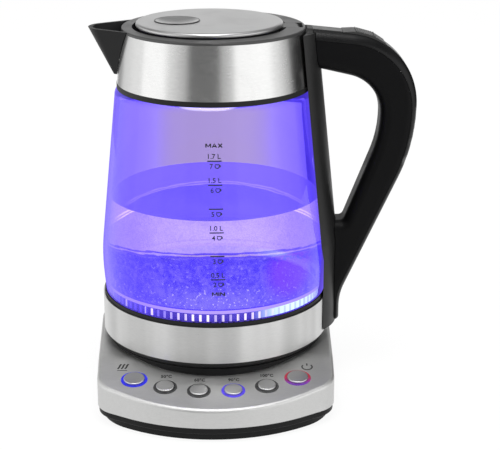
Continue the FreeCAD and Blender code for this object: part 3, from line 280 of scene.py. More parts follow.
def shader_group(name, inputs, outputs):
    """An empty shader group with named inputs, plain numbers or vectors, and its two end nodes' sockets."""
    tree = bpy.data.node_groups.new(name, "ShaderNodeTree")
    for label, default in inputs.items():
        kind = "NodeSocketFloat" if isinstance(default, float) else "NodeSocketVector"
        socket = tree.interface.new_socket(label, in_out="INPUT", socket_type=kind)
        if default is not None:
            socket.default_value = default
    for label in outputs:
        tree.interface.new_socket(label, in_out="OUTPUT", socket_type="NodeSocketFloat")
    return tree, add(tree, "NodeGroupInput").outputs, add(tree, "NodeGroupOutput").inputs


def brushed_grain():
    """Fine scratches drawn out along one direction."""
    tree, given, made = shader_group(
        "brushed_grain", {"Vector": None, "Stretch": (40.0, 40.0, 1800.0), "Contrast": 1.0}, ("Streak",))
    drawn = drawn_out(tree, given["Vector"], given["Stretch"])
    fine = noise(tree, drawn, 1.0, 3.0, 0.7)
    coarse = noise(tree, drawn, 0.4, 2.0)
    both = plus(tree, times(tree, fine, 0.8), times(tree, coarse, 0.2))
    swing = times(tree, math_node(tree, "SUBTRACT", both, 0.5), given["Contrast"])
    tree.links.new(math_node(tree, "ADD", swing, 0.5, clamp=True), made["Streak"])
    return tree


def moulded_grain():
    """The fine pebble of a moulding tool, and the slight unevenness of a moulded wall."""
    tree, given, made = shader_group("moulded_grain", {"Vector": None, "Grain": 1400.0},
                                     ("Height", "Unevenness"))
    pebble = add(tree, "ShaderNodeTexVoronoi", {"Vector": given["Vector"], "Scale": given["Grain"]},
                 feature="SMOOTH_F1").outputs["Distance"]
    speck = noise(tree, given["Vector"], 2600.0, 2.0)
    tree.links.new(plus(tree, pebble, times(tree, speck, 0.5)), made["Height"])
    tree.links.new(noise(tree, given["Vector"], 22.0, 3.0), made["Unevenness"])
    return tree


def handling_marks():
    """Faint smears that hands and cloths leave."""
    tree, given, made = shader_group("handling_marks", {"Vector": None, "Amount": 0.05}, ("Smear",))
    drawn = noise(tree, given["Vector"], 35.0, 4.0, 0.6, 1.2)
    tree.links.new(times(tree, fade(tree, drawn, 0.45, 0.7), given["Amount"]), made["Smear"])
    return tree


def use_group(tree, maker, inputs):
    """A shared effect placed in a material with its own values; the group is made the first time."""
    group = bpy.data.node_groups.get(maker.__name__) or maker()
    return add(tree, "ShaderNodeGroup", inputs, node_tree=group).outputs


def new_material(name, **plain):
    """A material with a Principled shader, its plain values, and Object coordinates."""
    packed = bpy.data.materials.get(name)
    if packed:
        packed.name = "packed_" + name
    material = bpy.data.materials.new(name)
    material.use_nodes = True
    material.cycles.emission_sampling = "NONE"
    tree = material.node_tree
    shader = tree.nodes["Principled BSDF"]
    for key, value in plain.items():
        shader.inputs[key.replace("_", " ")].default_value = value
    place = add(tree, "ShaderNodeTexCoord").outputs["Object"]
    return material, tree, shader, place


def show_surface(tree, shader):
    """Makes a shader the one that the material shows."""
    tree.links.new(shader.outputs[0], tree.nodes["Material Output"].inputs["Surface"])


def mix_shaders(tree, mask, first, second):
    """Shows two shaders mixed by a mask."""
    show_surface(tree, add(tree, "ShaderNodeMixShader", {0: mask, 1: first.outputs[0], 2: second.outputs[0]}))


def bump(tree, shader, height, depth, strength=1.0, edge=0.0):
    """A grain in the normal, over edges that look rounded by that radius."""
    made = add(tree, "ShaderNodeBump", {"Height": height, "Distance": depth, "Strength": strength})
    if edge:
        feed(made, Normal=add(tree, "ShaderNodeBevel", {"Radius": edge}, samples=6).outputs[0])
    feed(shader, Normal=made.outputs[0])


def brushed_steel(name, tone, roughness, stretch, contrast=1.0, across=0.0, depth=0.00002, reflection_stripes=0.0):
    """Steel with drawn-out scratches.

    Across is how much more the light spreads across them on a turned piece, and reflection_stripes how
    strongly painted stripes of reflection darken its tone on the way round it.
    """
    material, tree, shader, place = new_material(name, Metallic=1.0)
    grain = use_group(tree, brushed_grain, {"Vector": place, "Stretch": stretch, "Contrast": contrast})
    smear = use_group(tree, handling_marks, {"Vector": place, "Amount": 0.05})["Smear"]
    shown = blend_colours(tree, grain["Streak"], toned(tone, 0.84), toned(tone, 1.12))
    if reflection_stripes:
        # Painted reflection: upright stripes that darken the tone on the way round the piece
        round_it = vector_node(tree, "NORMALIZE", in_plan(tree, place))[0]
        swing = fade(tree, noise(tree, round_it, 2.6, 2.0, 0.5), 0.32, 0.66, 1.0 - reflection_stripes, 1.0)
        shown = scaled(tree, shown, swing)
    rough = fade(tree, grain["Streak"], 0.2, 0.8, roughness - 0.02, roughness + 0.03)
    feed(shader, Base_Color=shown, Roughness=plus(tree, rough, smear))
    if across:
        shader.inputs["Anisotropic"].default_value = across
        shader.inputs["Anisotropic Rotation"].default_value = 0.25
        feed(shader, Tangent=add(tree, "ShaderNodeTangent", direction_type="RADIAL", axis="Z").outputs[0])
    bump(tree, shader, grain["Streak"], depth, 0.6)
    return material


def darken_lip(material):
    """Paints shade on the narrow lip round the lid's dimple, as a dark grey ring blended into the steel's
    colour.
    """
    tree = material.node_tree
    shader = tree.nodes["Principled BSDF"]
    lid_tone = shader.inputs["Base Color"].links[0].from_socket
    place = tree.nodes["Texture Coordinate"].outputs["Object"]
    out = vector_node(tree, "DISTANCE", in_plan(tree, place), DIMPLE)["Value"]
    # Painted shade: a thin dark ring where the dimple's rolled edge falls into shade
    lip = thin_line(tree, out, DIMPLE_LIP, 0.0007)
    feed(shader, Base_Color=blend_colours(tree, lip, lid_tone, (0.06, 0.06, 0.06)))


def moulded_plastic(name, tone, roughness, grain=1400.0, depth=0.00002, gloss=0.25, edge=0.0):
    """Moulded plastic or rubber with its tool's grain and faint handling marks."""
    material, tree, shader, place = new_material(name, Specular_IOR_Level=gloss)
    skin = use_group(tree, moulded_grain, {"Vector": place, "Grain": grain})
    smear = use_group(tree, handling_marks, {"Vector": place, "Amount": 0.08})["Smear"]
    rough = fade(tree, skin["Unevenness"], 0.3, 0.7, roughness - 0.03, roughness + 0.04)
    feed(shader, Base_Color=blend_colours(tree, skin["Unevenness"], toned(tone, 0.8), toned(tone, 1.25)),
         Roughness=plus(tree, rough, smear))
    bump(tree, shader, skin["Height"], depth, 0.5, edge)
    return material


def circuit_board():
    """Green lacquer over copper tracks, with tinned pads."""
    material, tree, shader, place = new_material("circuit_board", Roughness=0.35)
    tracks = add(tree, "ShaderNodeTexBrick", {
        "Vector": place, "Scale": 260.0, "Mortar Size": 0.06, "Color1": rgba((0.012, 0.09, 0.035)),
        "Color2": rgba((0.016, 0.115, 0.045)), "Mortar": rgba((0.03, 0.17, 0.07))}).outputs
    pads = add(tree, "ShaderNodeTexVoronoi", {"Vector": place, "Scale": 220.0}).outputs["Distance"]
    pad = fade(tree, pads, 0.16, 0.12)
    feed(shader, Base_Color=blend_colours(tree, pad, tracks["Color"], (0.55, 0.55, 0.52)), Metallic=pad)
    bump(tree, shader, tracks["Fac"], 0.00003, 0.5)
    return material


def hide_from_mirrors(tree, tone):
    """A glow's colour for what the camera sees, and black for light that has been mirrored or scattered."""
    path = add(tree, "ShaderNodeLightPath").outputs
    turned = math_node(tree, "ADD", path["Glossy Depth"], path["Diffuse Depth"], clamp=True)
    return blend_colours(tree, turned, tone, BLACK)


def lit_ring(name, first, second, axis, start, end):
    """A milky ring lit from below, whose tone changes over the panel from start to end along an axis."""
    material, tree, shader, place = new_material(name, Roughness=0.35, Emission_Strength=1.0,
                                                 Specular_IOR_Level=0.2)
    mask = fade(tree, axes_of(tree, place)[axis], start, end)
    cloud = fade(tree, noise(tree, place, 260.0, 2.0), 0.3, 0.7, 0.8, 1.1)
    unlit = 0.12
    feed(shader, Emission_Color=scaled(tree, blend_colours(tree, mask, first, second), cloud),
         Base_Color=blend_colours(tree, mask, toned(first, unlit), toned(second, unlit)))
    skin = use_group(tree, moulded_grain, {"Vector": place, "Grain": 1800.0})
    bump(tree, shader, skin["Height"], 0.00001, 0.3)
    return material


def shoulder_lens(tree, place):
    """A mask for the lens of light in front under the upper seal: flat below, and gone towards its ends."""
    middle, flatness, ends = -0.004, 4.0, 14500.0
    parts = axes_of(tree, place)
    aside = math_node(tree, "POWER", math_node(tree, "SUBTRACT", parts["X"], middle), flatness)
    rise = math_node(tree, "SUBTRACT", parts["Z"], times(tree, aside, ends))
    return times(tree, fade(tree, rise, 0.2075, 0.2082), fade(tree, parts["Y"], -0.04, -0.05))


def jug_glass(finishes):
    """Clear glass that takes the colour of the lamps under it, deepest where the wall is seen edge on, with a
    painted glow along its edges and outline and a painted highlight under the upper seal.
    """
    material, tree, shader, place = new_material(
        "jug_glass", Transmission_Weight=1.0, IOR=1.45, Emission_Strength=1.0,
        Specular_Tint=(0.60, 0.50, 1.0, 1.0))
    facing = add(tree, "ShaderNodeLayerWeight", {"Blend": 0.5}).outputs["Facing"]
    haze = noise(tree, place, 30.0, 3.0)
    edge = fade(tree, facing, 0.08, 0.34)
    lit = times(tree, edge, fade(tree, haze, 0.2, 0.8, 0.85, 1.1))
    glow = blend_colours(tree, lit, BLACK, finishes.glass_glow)
    glow = blend_colours(tree, shoulder_lens(tree, place), glow, finishes.glass_lens)
    feed(shader, Emission_Color=hide_from_mirrors(tree, glow),
         Base_Color=blend_colours(tree, edge, WHITE, finishes.glass_edge),
         Roughness=fade(tree, haze, 0.3, 0.8, 0.0, 0.035))
    taken = add(tree, "ShaderNodeVolumeAbsorption", {
        "Color": rgba(finishes.glass_absorption), "Density": finishes.glass_density})
    tree.links.new(taken.outputs[0], tree.nodes["Material Output"].inputs["Volume"])
    side = add(tree, "ShaderNodeEmission", {"Color": hide_from_mirrors(tree, finishes.glass_side)})
    outline = fade(tree, facing, 0.55, 0.95, 0.0, 0.85)
    mix_shaders(tree, outline, shader, side)
    return material


def boil_height(tree, parts, ripple):
    """Height to set against the boil level, so that the boil's edge waves and is lowest at the two sides."""
    wave, sink, slope, back = 0.0040, 0.0136, 0.18, 0.0022
    waved = plus(tree, parts["Z"], times(tree, math_node(tree, "SUBTRACT", ripple, 0.5), wave))
    inward = times(tree, math_node(tree, "ABSOLUTE", parts["Y"]), slope)
    tilt = plus(tree, math_node(tree, "SUBTRACT", sink, inward), fade(tree, parts["Y"], 0.0, 0.04, 0.0, back))
    return plus(tree, waved, tilt)


def boiling_tone(tree, place, parts, near, froth, water):
    """Light in the water that is full of fine bubbles."""
    patch_middle = (0.050, -0.056, 0.098)
    drifts = noise(tree, place, 80.0, 3.0, 0.6, 0.6)
    cloud = plus(tree, times(tree, drifts, 0.45), times(tree, froth, 0.55))
    tone = blend_colours(tree, fade(tree, cloud, 0.42, 0.60), water.deep, water.mist)
    side = math_node(tree, "ABSOLUTE", parts["X"])
    foam = times(tree, fade(tree, parts["Z"], 0.100, 0.080), fade(tree, side, 0.060, 0.015))
    foam = times(tree, foam, fade(tree, cloud, 0.3, 0.6, 0.3, 0.9))
    tone = blend_colours(tree, foam, tone, water.foam)
    off = vector_node(tree, "DISTANCE", place, patch_middle)["Value"]
    tone = blend_colours(tree, times(tree, fade(tree, off, 0.026, 0.010), 0.8), tone, water.violet)
    glints = fade(tree, noise(tree, place, 520.0, 2.0, 0.6), 0.61, 0.70)
    glints = times(tree, glints, math_node(tree, "ADD", foam, 0.22, clamp=True))
    return blend_colours(tree, times(tree, glints, near), tone, WHITE)


def boil_lines(tree, height, froth, near, beside, water):
    """A mask for the two lines along the boil's edge, and for the dashes under them in front."""
    line, dash = 0.0009, 0.0022
    lines = greater(tree, thin_line(tree, height, water.boil_level + 0.0026, line),
                    thin_line(tree, height, water.boil_level + 0.0002, line))
    dashes = times(tree, thin_line(tree, height, water.boil_level - 0.0032, dash),
                   fade(tree, froth, 0.46, 0.56))
    return times(tree, greater(tree, lines, times(tree, dashes, near)), beside)


def lit_water(water):
    """Water whose light from the ring at its foot is painted into its own glow: calm and pale above, full of
    fine bubbles below.
    """
    material, tree, shader, place = new_material(
        "lit_water", Transmission_Weight=1.0, IOR=1.05, Roughness=0.0, Emission_Strength=1.0)
    parts = axes_of(tree, place)
    normal = axes_of(tree, add(tree, "ShaderNodeTexCoord").outputs["Normal"])
    surface = fade(tree, normal["Z"], 0.80, 0.95)
    near = fade(tree, parts["Y"], -0.005, -0.025)
    far = fade(tree, parts["Y"], 0.026, 0.042)
    ripple = noise(tree, drawn_out(tree, place, (38.0, 38.0, 240.0)), 1.0, 4.0, 0.6, 0.6)
    froth = noise(tree, place, 330.0, 4.0, 0.7)
    height = boil_height(tree, parts, ripple)
    boil = fade(tree, height, water.boil_level + 0.0006, water.boil_level - 0.0010)

    fine = fade(tree, noise(tree, place, 1100.0, 2.0), 0.3, 0.7, 0.86, 1.14)
    fine = times(tree, fine, fade(tree, parts["Y"], -0.01, 0.02, 1.0, 0.5))
    body = blend_colours(tree, boil, scaled(tree, tuple(water.pale), fine),
                         boiling_tone(tree, place, parts, near, froth, water))
    # Painted light: the boil's edge lines, dark blue in front and bright behind
    beside = greater(tree, far, fade(tree, parts["Y"], 0.012, -0.005))
    body = blend_colours(tree, boil_lines(tree, height, froth, near, beside, water), body,
                         blend_colours(tree, far, water.edge, (1.5, 1.4, 1.3)))
    # Painted light: a pale band over the ring's shelf in front, and a thin dark line just above it
    shelf = GUIDE_HIGH + water.wall_gap
    lip = times(tree, near, fade(tree, parts["Z"], shelf + 0.0025, shelf + 0.0021))
    body = blend_colours(tree, lip, body, (0.70, 0.60, 0.80))
    body = blend_colours(tree, thin_line(tree, parts["Z"], shelf + 0.0028, 0.0006), body, (0.04, 0.02, 0.60))
    body = blend_colours(tree, surface, body, water.surface)
    clear = blend_colours(tree, boil, (0.50, 0.45, 0.70), (0.10, 0.08, 0.40))
    feed(shader, Emission_Color=hide_from_mirrors(tree, body),
         Base_Color=blend_colours(tree, surface, clear, (0.04, 0.03, 0.40)))
    bump(tree, shader, ripple, 0.0004, 0.25)
    return material


def bubble_shine():
    """Small bubbles that catch the light of the ring."""
    material, tree, shader, place = new_material("bubble_shine", Roughness=0.05, Emission_Strength=2.2)
    tone = blend_colours(tree, noise(tree, place, 900.0, 1.0), (0.30, 0.26, 0.70), WHITE)
    feed(shader, Emission_Color=hide_from_mirrors(tree, tone), Base_Color=tone)
    return material


def ring_light(name, dim, bright, glare, strength):
    """The lit plastic round the heater plate: dim at the left, bright in front and glaring at the right."""
    material, tree, shader, place = new_material(name, Roughness=0.15, Emission_Strength=strength)
    across = axes_of(tree, place)["X"]
    spots = noise(tree, in_plan(tree, place), 230.0, 2.0)
    front = times(tree, fade(tree, across, -0.045, -0.012), fade(tree, spots, 0.32, 0.58, 0.3, 1.0))
    front = greater(tree, front, fade(tree, spots, 0.60, 0.70))
    tone = blend_colours(tree, front, dim, bright)
    tone = blend_colours(tree, fade(tree, across, 0.022, 0.050), tone, glare)
    feed(shader, Emission_Color=hide_from_mirrors(tree, tone),
         Base_Color=blend_colours(tree, front, toned(dim, 0.2), toned(bright, 0.4)))
    return material


def printing_ink(name, tone):
    """Printed ink, a little uneven in cover."""
    material, tree, shader, place = new_material(name, Roughness=0.55)
    cover = noise(tree, place, 900.0, 3.0)
    feed(shader, Base_Color=blend_colours(tree, cover, toned(tone, 0.6), toned(tone, 1.5)))
    return material


def dress(names, material):
    """Gives a material to packed nodes."""
    for name in names:
        NODES[name].material_slots[0].material = material


def finish_nodes(slot, material):
    """Gives a material to every packed node that the record puts in that slot."""
    dress(SLOT_NODES[slot], material)


def new_piece(name, mesh, material, body, replaced=()):
    """A finished piece in the scene: its material, the body it moves with, and the packed nodes it replaces
    hidden.
    """
    mesh.name = name
    mesh.materials.clear()
    mesh.materials.append(material)
    piece = bpy.data.objects.new(name, mesh)
    bpy.context.scene.collection.objects.link(piece)
    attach(piece, body)
    if replaced:
        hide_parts(*replaced)


def mesh_from(form, name):
    """The mesh of a finished form, which is then gone."""
    mesh = bpy.data.meshes.new(name)
    form.to_mesh(mesh)
    form.free()
    return mesh


def bridge(form, rings, closed):
    """Joins rings of corners by faces, each to the next and, when closed, the last to the first."""
    pairs = list(zip(rings, rings[1:]))
    if closed:
        pairs.append((rings[-1], rings[0]))
    for low, high in pairs:
        count = max(len(low), len(high))
        for i in range(count):
            j = (i + 1) % count
            corners = [low[i % len(low)], low[j % len(low)], high[j % len(high)], high[i % len(high)]]
            form.faces.new(list(dict.fromkeys(corners)))


def lathe(profile, segments, closed=False):
    """A mesh turned about Z from points of radius and height; a point on the axis closes it."""
    form = bmesh.new()
    turns = [2 * math.pi * i / segments for i in range(segments)]
    rings = []
    for radius, height in profile:
        if radius < 1e-6:
            rings.append([form.verts.new((0.0, 0.0, height))])
        else:
            ring = [(radius * math.cos(turn), radius * math.sin(turn), height) for turn in turns]
            rings.append([form.verts.new(place) for place in ring])
    bridge(form, rings, closed)
    bmesh.ops.recalc_face_normals(form, faces=form.faces)
    mesh = mesh_from(form, "turned")
    mesh.shade_smooth()
    mesh.set_sharp_from_angle(angle=math.radians(40))
    return mesh


def wall_profile(node, side):
    """Heights and radii of a turned node's outer (side 1) or inner (side -1) wall, from the foot up."""
    rings = {}
    for vertex in NODES[node].data.vertices:
        flat = Vector((vertex.co.x, vertex.co.y, 0.0))
        if vertex.normal.dot(flat.normalized()) * side > 0.5:
            rings[round(vertex.co.z, 5)] = flat.length
    return sorted(rings.items())


GLASS_OUTER = wall_profile("glass_jug", 1)
GLASS_INNER = wall_profile("glass_jug", -1)


def radius_at(profile, height):
    """Radius of a wall at a height, straight between the points that are known."""
    for (low, first), (high, second) in zip(profile, profile[1:]):
        if height <= high:
            return first + (second - first) * (height - low) / (high - low)
    return profile[-1][1]


def evaluated_mesh(holder):
    """The plain mesh that an object gives once its modifiers or its letters are worked out."""
    bpy.context.scene.collection.objects.link(holder)
    depsgraph = bpy.context.evaluated_depsgraph_get()
    mesh = bpy.data.meshes.new_from_object(holder.evaluated_get(depsgraph))
    bpy.data.objects.remove(holder)
    return mesh


def rule_tree(name, sizes):
    """A geometry tree with a named input for each size, and the sockets of its inputs."""
    tree = bpy.data.node_groups.new(name, "GeometryNodeTree")
    tree.interface.new_socket("Geometry", in_out="INPUT", socket_type="NodeSocketGeometry")
    tree.interface.new_socket("Geometry", in_out="OUTPUT", socket_type="NodeSocketGeometry")
    tree.interface.new_socket("Material", in_out="INPUT", socket_type="NodeSocketMaterial")
    for label, value in sizes.items():
        kind = "NodeSocketInt" if isinstance(value, int) else "NodeSocketFloat"
        tree.interface.new_socket(label, in_out="INPUT", socket_type=kind)
    return tree, add(tree, "NodeGroupInput").outputs


def vector_of(tree, **parts):
    return add(tree, "ShaderNodeCombineXYZ", parts).outputs[0]


def grow(tree, kind, **inputs):
    """What a geometry node makes of its inputs, whose names have spaces where these have underscores."""
    sockets = {name.replace("_", " "): value for name, value in inputs.items()}
    return add(tree, "GeometryNode" + kind, sockets).outputs[0]


def repeat_shape(tree, given, points, shape, **placing):
    """Closes a geometry tree: the shape on every point, as one smooth mesh with the material set."""
    copies = grow(tree, "InstanceOnPoints", Points=points, Instance=shape, **placing)
    smooth = grow(tree, "SetShadeSmooth", Geometry=grow(tree, "RealizeInstances", Geometry=copies))
    dressed = grow(tree, "SetMaterial", Geometry=smooth, Material=given["Material"])
    add(tree, "NodeGroupOutput", {"Geometry": dressed})


def grown_mesh(tree, sizes, material, base=None):
    """The plain mesh that a geometry tree makes with these sizes."""
    holder = bpy.data.objects.new("holder", base or bpy.data.meshes.new("nothing"))
    rule = holder.modifiers.new("rule", "NODES")
    rule.node_group = tree
    values = {**sizes, "Material": material}
    for item in tree.interface.items_tree:
        if item.in_out == "INPUT" and item.name in values:
            rule[item.identifier] = values[item.name]
    return evaluated_mesh(holder)


def joined(meshes):
    """Several meshes, each with its own transform, as one."""
    form = bmesh.new()
    for mesh, matrix in meshes:
        mesh.transform(matrix)
        form.from_mesh(mesh)
        bpy.data.meshes.remove(mesh)
    return mesh_from(form, "joined")


def lettering(words, height, ink, weight, stretch=1.0, widen=1.0):
    """Words as a flat solid on XY, centred on the origin, with capitals of that height before any stretch."""
    capital_share = 0.729
    text = bpy.data.curves.new("lettering", "FONT")
    text.body = words
    text.size = height / capital_share
    text.align_x = "CENTER"
    text.align_y = "CENTER"
    text.extrude = ink / 2
    text.offset = weight
    # Letters that are widened or made heavier keep their gaps
    text.space_character = 1.0 - (widen - 1.0) * 0.7 + weight * 300
    text.resolution_u = 3
    mesh = evaluated_mesh(bpy.data.objects.new("lettering", text))
    spans = [[vertex.co[i] for vertex in mesh.vertices] for i in range(3)]
    centre = Vector([(min(span) + max(span)) / 2 for span in spans])
    mesh.transform(Matrix.Diagonal((widen, stretch, 1.0, 1.0)) @ Matrix.Translation(-centre))
    return mesh


def drawn_line(points, width, ink, closed=False):
    """A printed line of that width through points on XY, as a thin solid."""
    points = [Vector((x, y)) for x, y in points]
    count = len(points)
    form = bmesh.new()
    sides = []
    for i, point in enumerate(points):
        before = points[i - 1] if closed or i else point
        after = points[(i + 1) % count] if closed or i < count - 1 else point
        along = (after - before).normalized()
        out = Vector((-along.y, along.x)) * width / 2
        sides.append([form.verts.new((*(point + out * s), ink / 2 * t)) for s, t in
                      ((1, -1), (-1, -1), (-1, 1), (1, 1))])
    bridge(form, sides, closed)
    if not closed:
        form.faces.new(sides[0])
        form.faces.new(sides[-1])
    bmesh.ops.recalc_face_normals(form, faces=form.faces)
    return mesh_from(form, "line")


def arc_points(radius, start, end, steps=24, centre=(0.0, 0.0)):
    """Points along an arc, in degrees from +X."""
    turns = [math.radians(start + (end - start) * i / steps) for i in range(steps + 1)]
    return [(centre[0] + radius * math.cos(t), centre[1] + radius * math.sin(t)) for t in turns]


class KETTLE_OT_metal(Operator):
    """Gives every metal node its brushed or turned finish"""
    bl_idname = "kettle.metal"
    bl_label = "Metal finishes"

    def execute(self, context):
        looks = context.scene.kettle_finishes
        rough = looks.brushed_roughness
        turned = (300.0, 300.0, 2200.0)
        even, fine = (300.0, 300.0, 300.0), (2600.0, 2600.0, 2600.0)
        plain = {"contrast": 0.7, "depth": 0.00001}
        for slot, tone, roughness, stretch, more in (
                ("band_steel", looks.band_steel, rough, turned, {"across": 0.6, "depth": 0.0000008}),
                ("base_steel", looks.base_steel, rough + 0.24, (200.0, 1500.0, 1500.0), {"depth": 0.00001}),
                ("lid_steel", looks.lid_steel, rough + 0.09, (260.0, 1500.0, 400.0),
                 {"contrast": 0.6, "depth": 0.000007}),
                ("plate_steel", (0.55, 0.55, 0.56), rough, even, {}),
                ("key_steel", (0.62, 0.62, 0.62), rough + 0.08, (120.0, 2200.0, 600.0), {"depth": 0.00001}),
                ("fastener", (0.50, 0.50, 0.52), 0.32, fine, plain),
                ("contact_brass", (0.72, 0.50, 0.20), 0.28, fine, plain),
                ("aluminium", (0.70, 0.71, 0.72), 0.42, (1200.0, 1200.0, 1200.0), plain)):
            finish_nodes(slot, brushed_steel(slot, tone, roughness, stretch, **more))
        dress(("lower_band",), brushed_steel("lower_band_steel", looks.band_steel, rough + 0.06, turned,
                                             across=0.5, depth=0.000003, reflection_stripes=0.26))
        darken_lip(NODES["lid_cap"].material_slots[0].material)
        return {"FINISHED"}


class KETTLE_OT_plastic(Operator):
    """Gives every plastic, rubber, light ring and circuit board node its finish"""
    bl_idname = "kettle.plastic"
    bl_label = "Plastic finishes"

    def execute(self, context):
        looks = context.scene.kettle_finishes
        # Slot, tone, roughness, grain, depth of the grain, gloss and radius of soft edges
        for slot, *values in (
                ("black_plastic", looks.moulded_black, 0.42, 1400.0, 0.00002, 0.16),
                ("handle_gloss", looks.grip_black, 0.26, 2200.0, 0.00001, 0.2, 0.0011),
                ("handle_satin", looks.grip_black, 0.38, 1700.0, 0.00002, 0.08, 0.0009),
                ("switch_plastic", (0.05, 0.05, 0.052), 0.45, 1000.0),
                ("rubber", looks.rubber_black, 0.75, 900.0, 0.00004, 0.15),
                ("seal", looks.rubber_black, 0.48, 1300.0, 0.00001, 0.2),
                ("ring_dark", (0.045, 0.045, 0.046), 0.32, 1800.0, 0.00001)):
            finish_nodes(slot, moulded_plastic(slot, *values))
        dress(("collar", "lid_body"),
              moulded_plastic("rim_plastic", looks.rim_black, 0.36, 2000.0, 0.00001, 0.55))
        dress(("handle_stay", "jug_bottom_cover", "hinge_block"),
              moulded_plastic("satin_plastic", looks.satin_black, 0.40, 1700.0, 0.00002, 0.3))
        dress(("lid_button",),
              moulded_plastic("button_plastic", looks.button_black, 0.38, 1700.0, 0.00002, 0.5))
        finish_nodes("circuit_board", circuit_board())
        finish_nodes("ring_blue", lit_ring("ring_blue", looks.lit_blue, looks.lit_violet, "X", -0.03, 0.0))
        front, back = (corner.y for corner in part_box("ring_power"))
        finish_nodes("ring_red", lit_ring("ring_red", looks.lit_red, looks.lit_purple, "Y",
                                          front + 0.55 * (back - front), front + 0.05 * (back - front)))
        return {"FINISHED"}


class KETTLE_OT_glass(Operator):
    """Turns the jug's glass as a smooth wall in the place of its packed node"""
    bl_idname = "kettle.glass"
    bl_label = "Jug glass"

    def execute(self, context):
        # The shoulder bends in by this radius, through this turn
        bend, last, steps = 0.0065, math.radians(47), 12
        start = GLASS_OUTER[-1][0] - bend * math.sin(last)
        outside = [(radius, height) for height, radius in GLASS_OUTER if height < start]
        wall = radius_at(GLASS_OUTER, start)
        for i in range(steps + 1):
            turn = last * i / steps
            outside.append((wall - bend * (1 - math.cos(turn)), start + bend * math.sin(turn)))
        inside = [(radius, height) for height, radius in reversed(GLASS_INNER)]
        mesh = lathe(outside + inside, 256, closed=True)
        new_piece("jug_glass", mesh, jug_glass(context.scene.kettle_finishes), "jug", ("glass_jug",))
        return {"FINISHED"}


class KETTLE_OT_water(Operator):
    """Fills the jug with lit water up to its level, with a fine rim where it climbs the glass"""
    bl_idname = "kettle.water"
    bl_label = "Water"

    def execute(self, context):
        water = context.scene.kettle_water
        gap, climb, level = water.wall_gap, water.climb, water.level
        floor = PLATE_TOP + gap
        shelf = GUIDE_HIGH + gap
        steps = 24
        heights = [shelf + (level - shelf) * i / steps for i in range(steps + 1)]
        wall = [(radius_at(GLASS_INNER, height) - gap, height) for height in heights]
        edge = wall[-1][0]
        top = [(edge, level + climb), (edge - climb * 0.4, level + climb * 0.35), (edge - climb * 1.6, level)]
        calm = [(edge * part, level) for part in (0.9, 0.75, 0.6, 0.45, 0.3, 0.15, 0.0)]
        well = PLATE_RADIUS + gap
        foot = [(0.0, floor), (PLATE_RADIUS * 0.5, floor), (well, floor), (well, shelf)]
        new_piece("water", lathe(foot + wall + top + calm, 192), lit_water(water), "jug")
        return {"FINISHED"}


class KETTLE_OT_bubbles(Operator):
    """Scatters small bubbles along the front of the glass's lower wall"""
    bl_idname = "kettle.bubbles"
    bl_label = "Bubbles"

    def execute(self, context):
        water = context.scene.kettle_water
        sizes = {"Density": water.bubble_density, "Smallest": water.bubble_size * 0.35,
                 "Largest": water.bubble_size, "Seed": water.bubble_seed}
        tree, given = rule_tree("bubble_scatter", sizes)
        points = grow(tree, "DistributePointsOnFaces", Mesh=given["Geometry"], Density=given["Density"],
                      Seed=given["Seed"])
        ball = grow(tree, "MeshUVSphere", Segments=8, Rings=5, Radius=1.0)
        drawn = add(tree, "FunctionNodeRandomValue", {
            "Min": given["Smallest"], "Max": given["Largest"], "Seed": given["Seed"]}, data_type="FLOAT")
        size = next(socket for socket in drawn.outputs if socket.enabled and socket.type == "VALUE")
        repeat_shape(tree, given, points, ball, Scale=size)

        inset = water.bubble_size * 1.6
        heights = (0.0770, 0.081, 0.085)
        base = lathe([(radius_at(GLASS_INNER, height) - inset, height) for height in heights], 48)
        form = bmesh.new()
        form.from_mesh(base)
        behind = [face for face in form.faces if face.calc_center_median().y > 0]
        bmesh.ops.delete(form, geom=behind, context="FACES")
        form.to_mesh(base)
        form.free()
        shine = bubble_shine()
        new_piece("water_bubbles", grown_mesh(tree, sizes, shine, base), shine, "jug")
        return {"FINISHED"}


class KETTLE_OT_light_ring(Operator):
    """Makes the lit ring round the heater plate, with its upright ribs"""
    bl_idname = "kettle.light_ring"
    bl_label = "Light ring"

    def execute(self, context):
        rib, lip = 0.0008, 0.0006
        inner = min(radius for _, radius in wall_profile("light_guide", -1))
        wall = GUIDE_RADIUS - rib
        under_lip = GUIDE_HIGH - lip
        profile = [(inner, GUIDE_LOW), (wall, GUIDE_LOW), (wall, under_lip), (wall - lip, GUIDE_HIGH),
                   (inner + lip, GUIDE_HIGH), (inner, under_lip)]
        glow = ring_light("ring_glow", (0.012, 0.006, 0.115), (0.023, 0.017, 0.17), (0.50, 0.82, 0.60), 3.8)
        ring = lathe(profile, 192, closed=True)
        new_piece("light_ring", ring, glow, "jug", ("light_guide",))

        height = GUIDE_HIGH - GUIDE_LOW - lip * 2
        sizes = {"Count": 92, "Radius": wall, "Level": GUIDE_LOW + height / 2, "Rib radius": rib,
                 "Height": height}
        tree, given = rule_tree("ring_ribs", sizes)
        circle = grow(tree, "MeshCircle", Vertices=given["Count"], Radius=given["Radius"])
        raised = grow(tree, "SetPosition", Geometry=circle, Offset=vector_of(tree, Z=given["Level"]))
        bar = grow(tree, "MeshCylinder", Vertices=10, Radius=given["Rib radius"], Depth=given["Height"])
        repeat_shape(tree, given, raised, bar)
        shine = ring_light("rib_glow", (0.10, 0.07, 0.50), (1.0, 1.0, 0.75), (0.62, 1.0, 0.72), 1.9)
        ribs = grown_mesh(tree, sizes, shine)
        ribs.set_sharp_from_angle(angle=math.radians(50))
        new_piece("light_ring_ribs", ribs, shine, "jug")
        return {"FINISHED"}


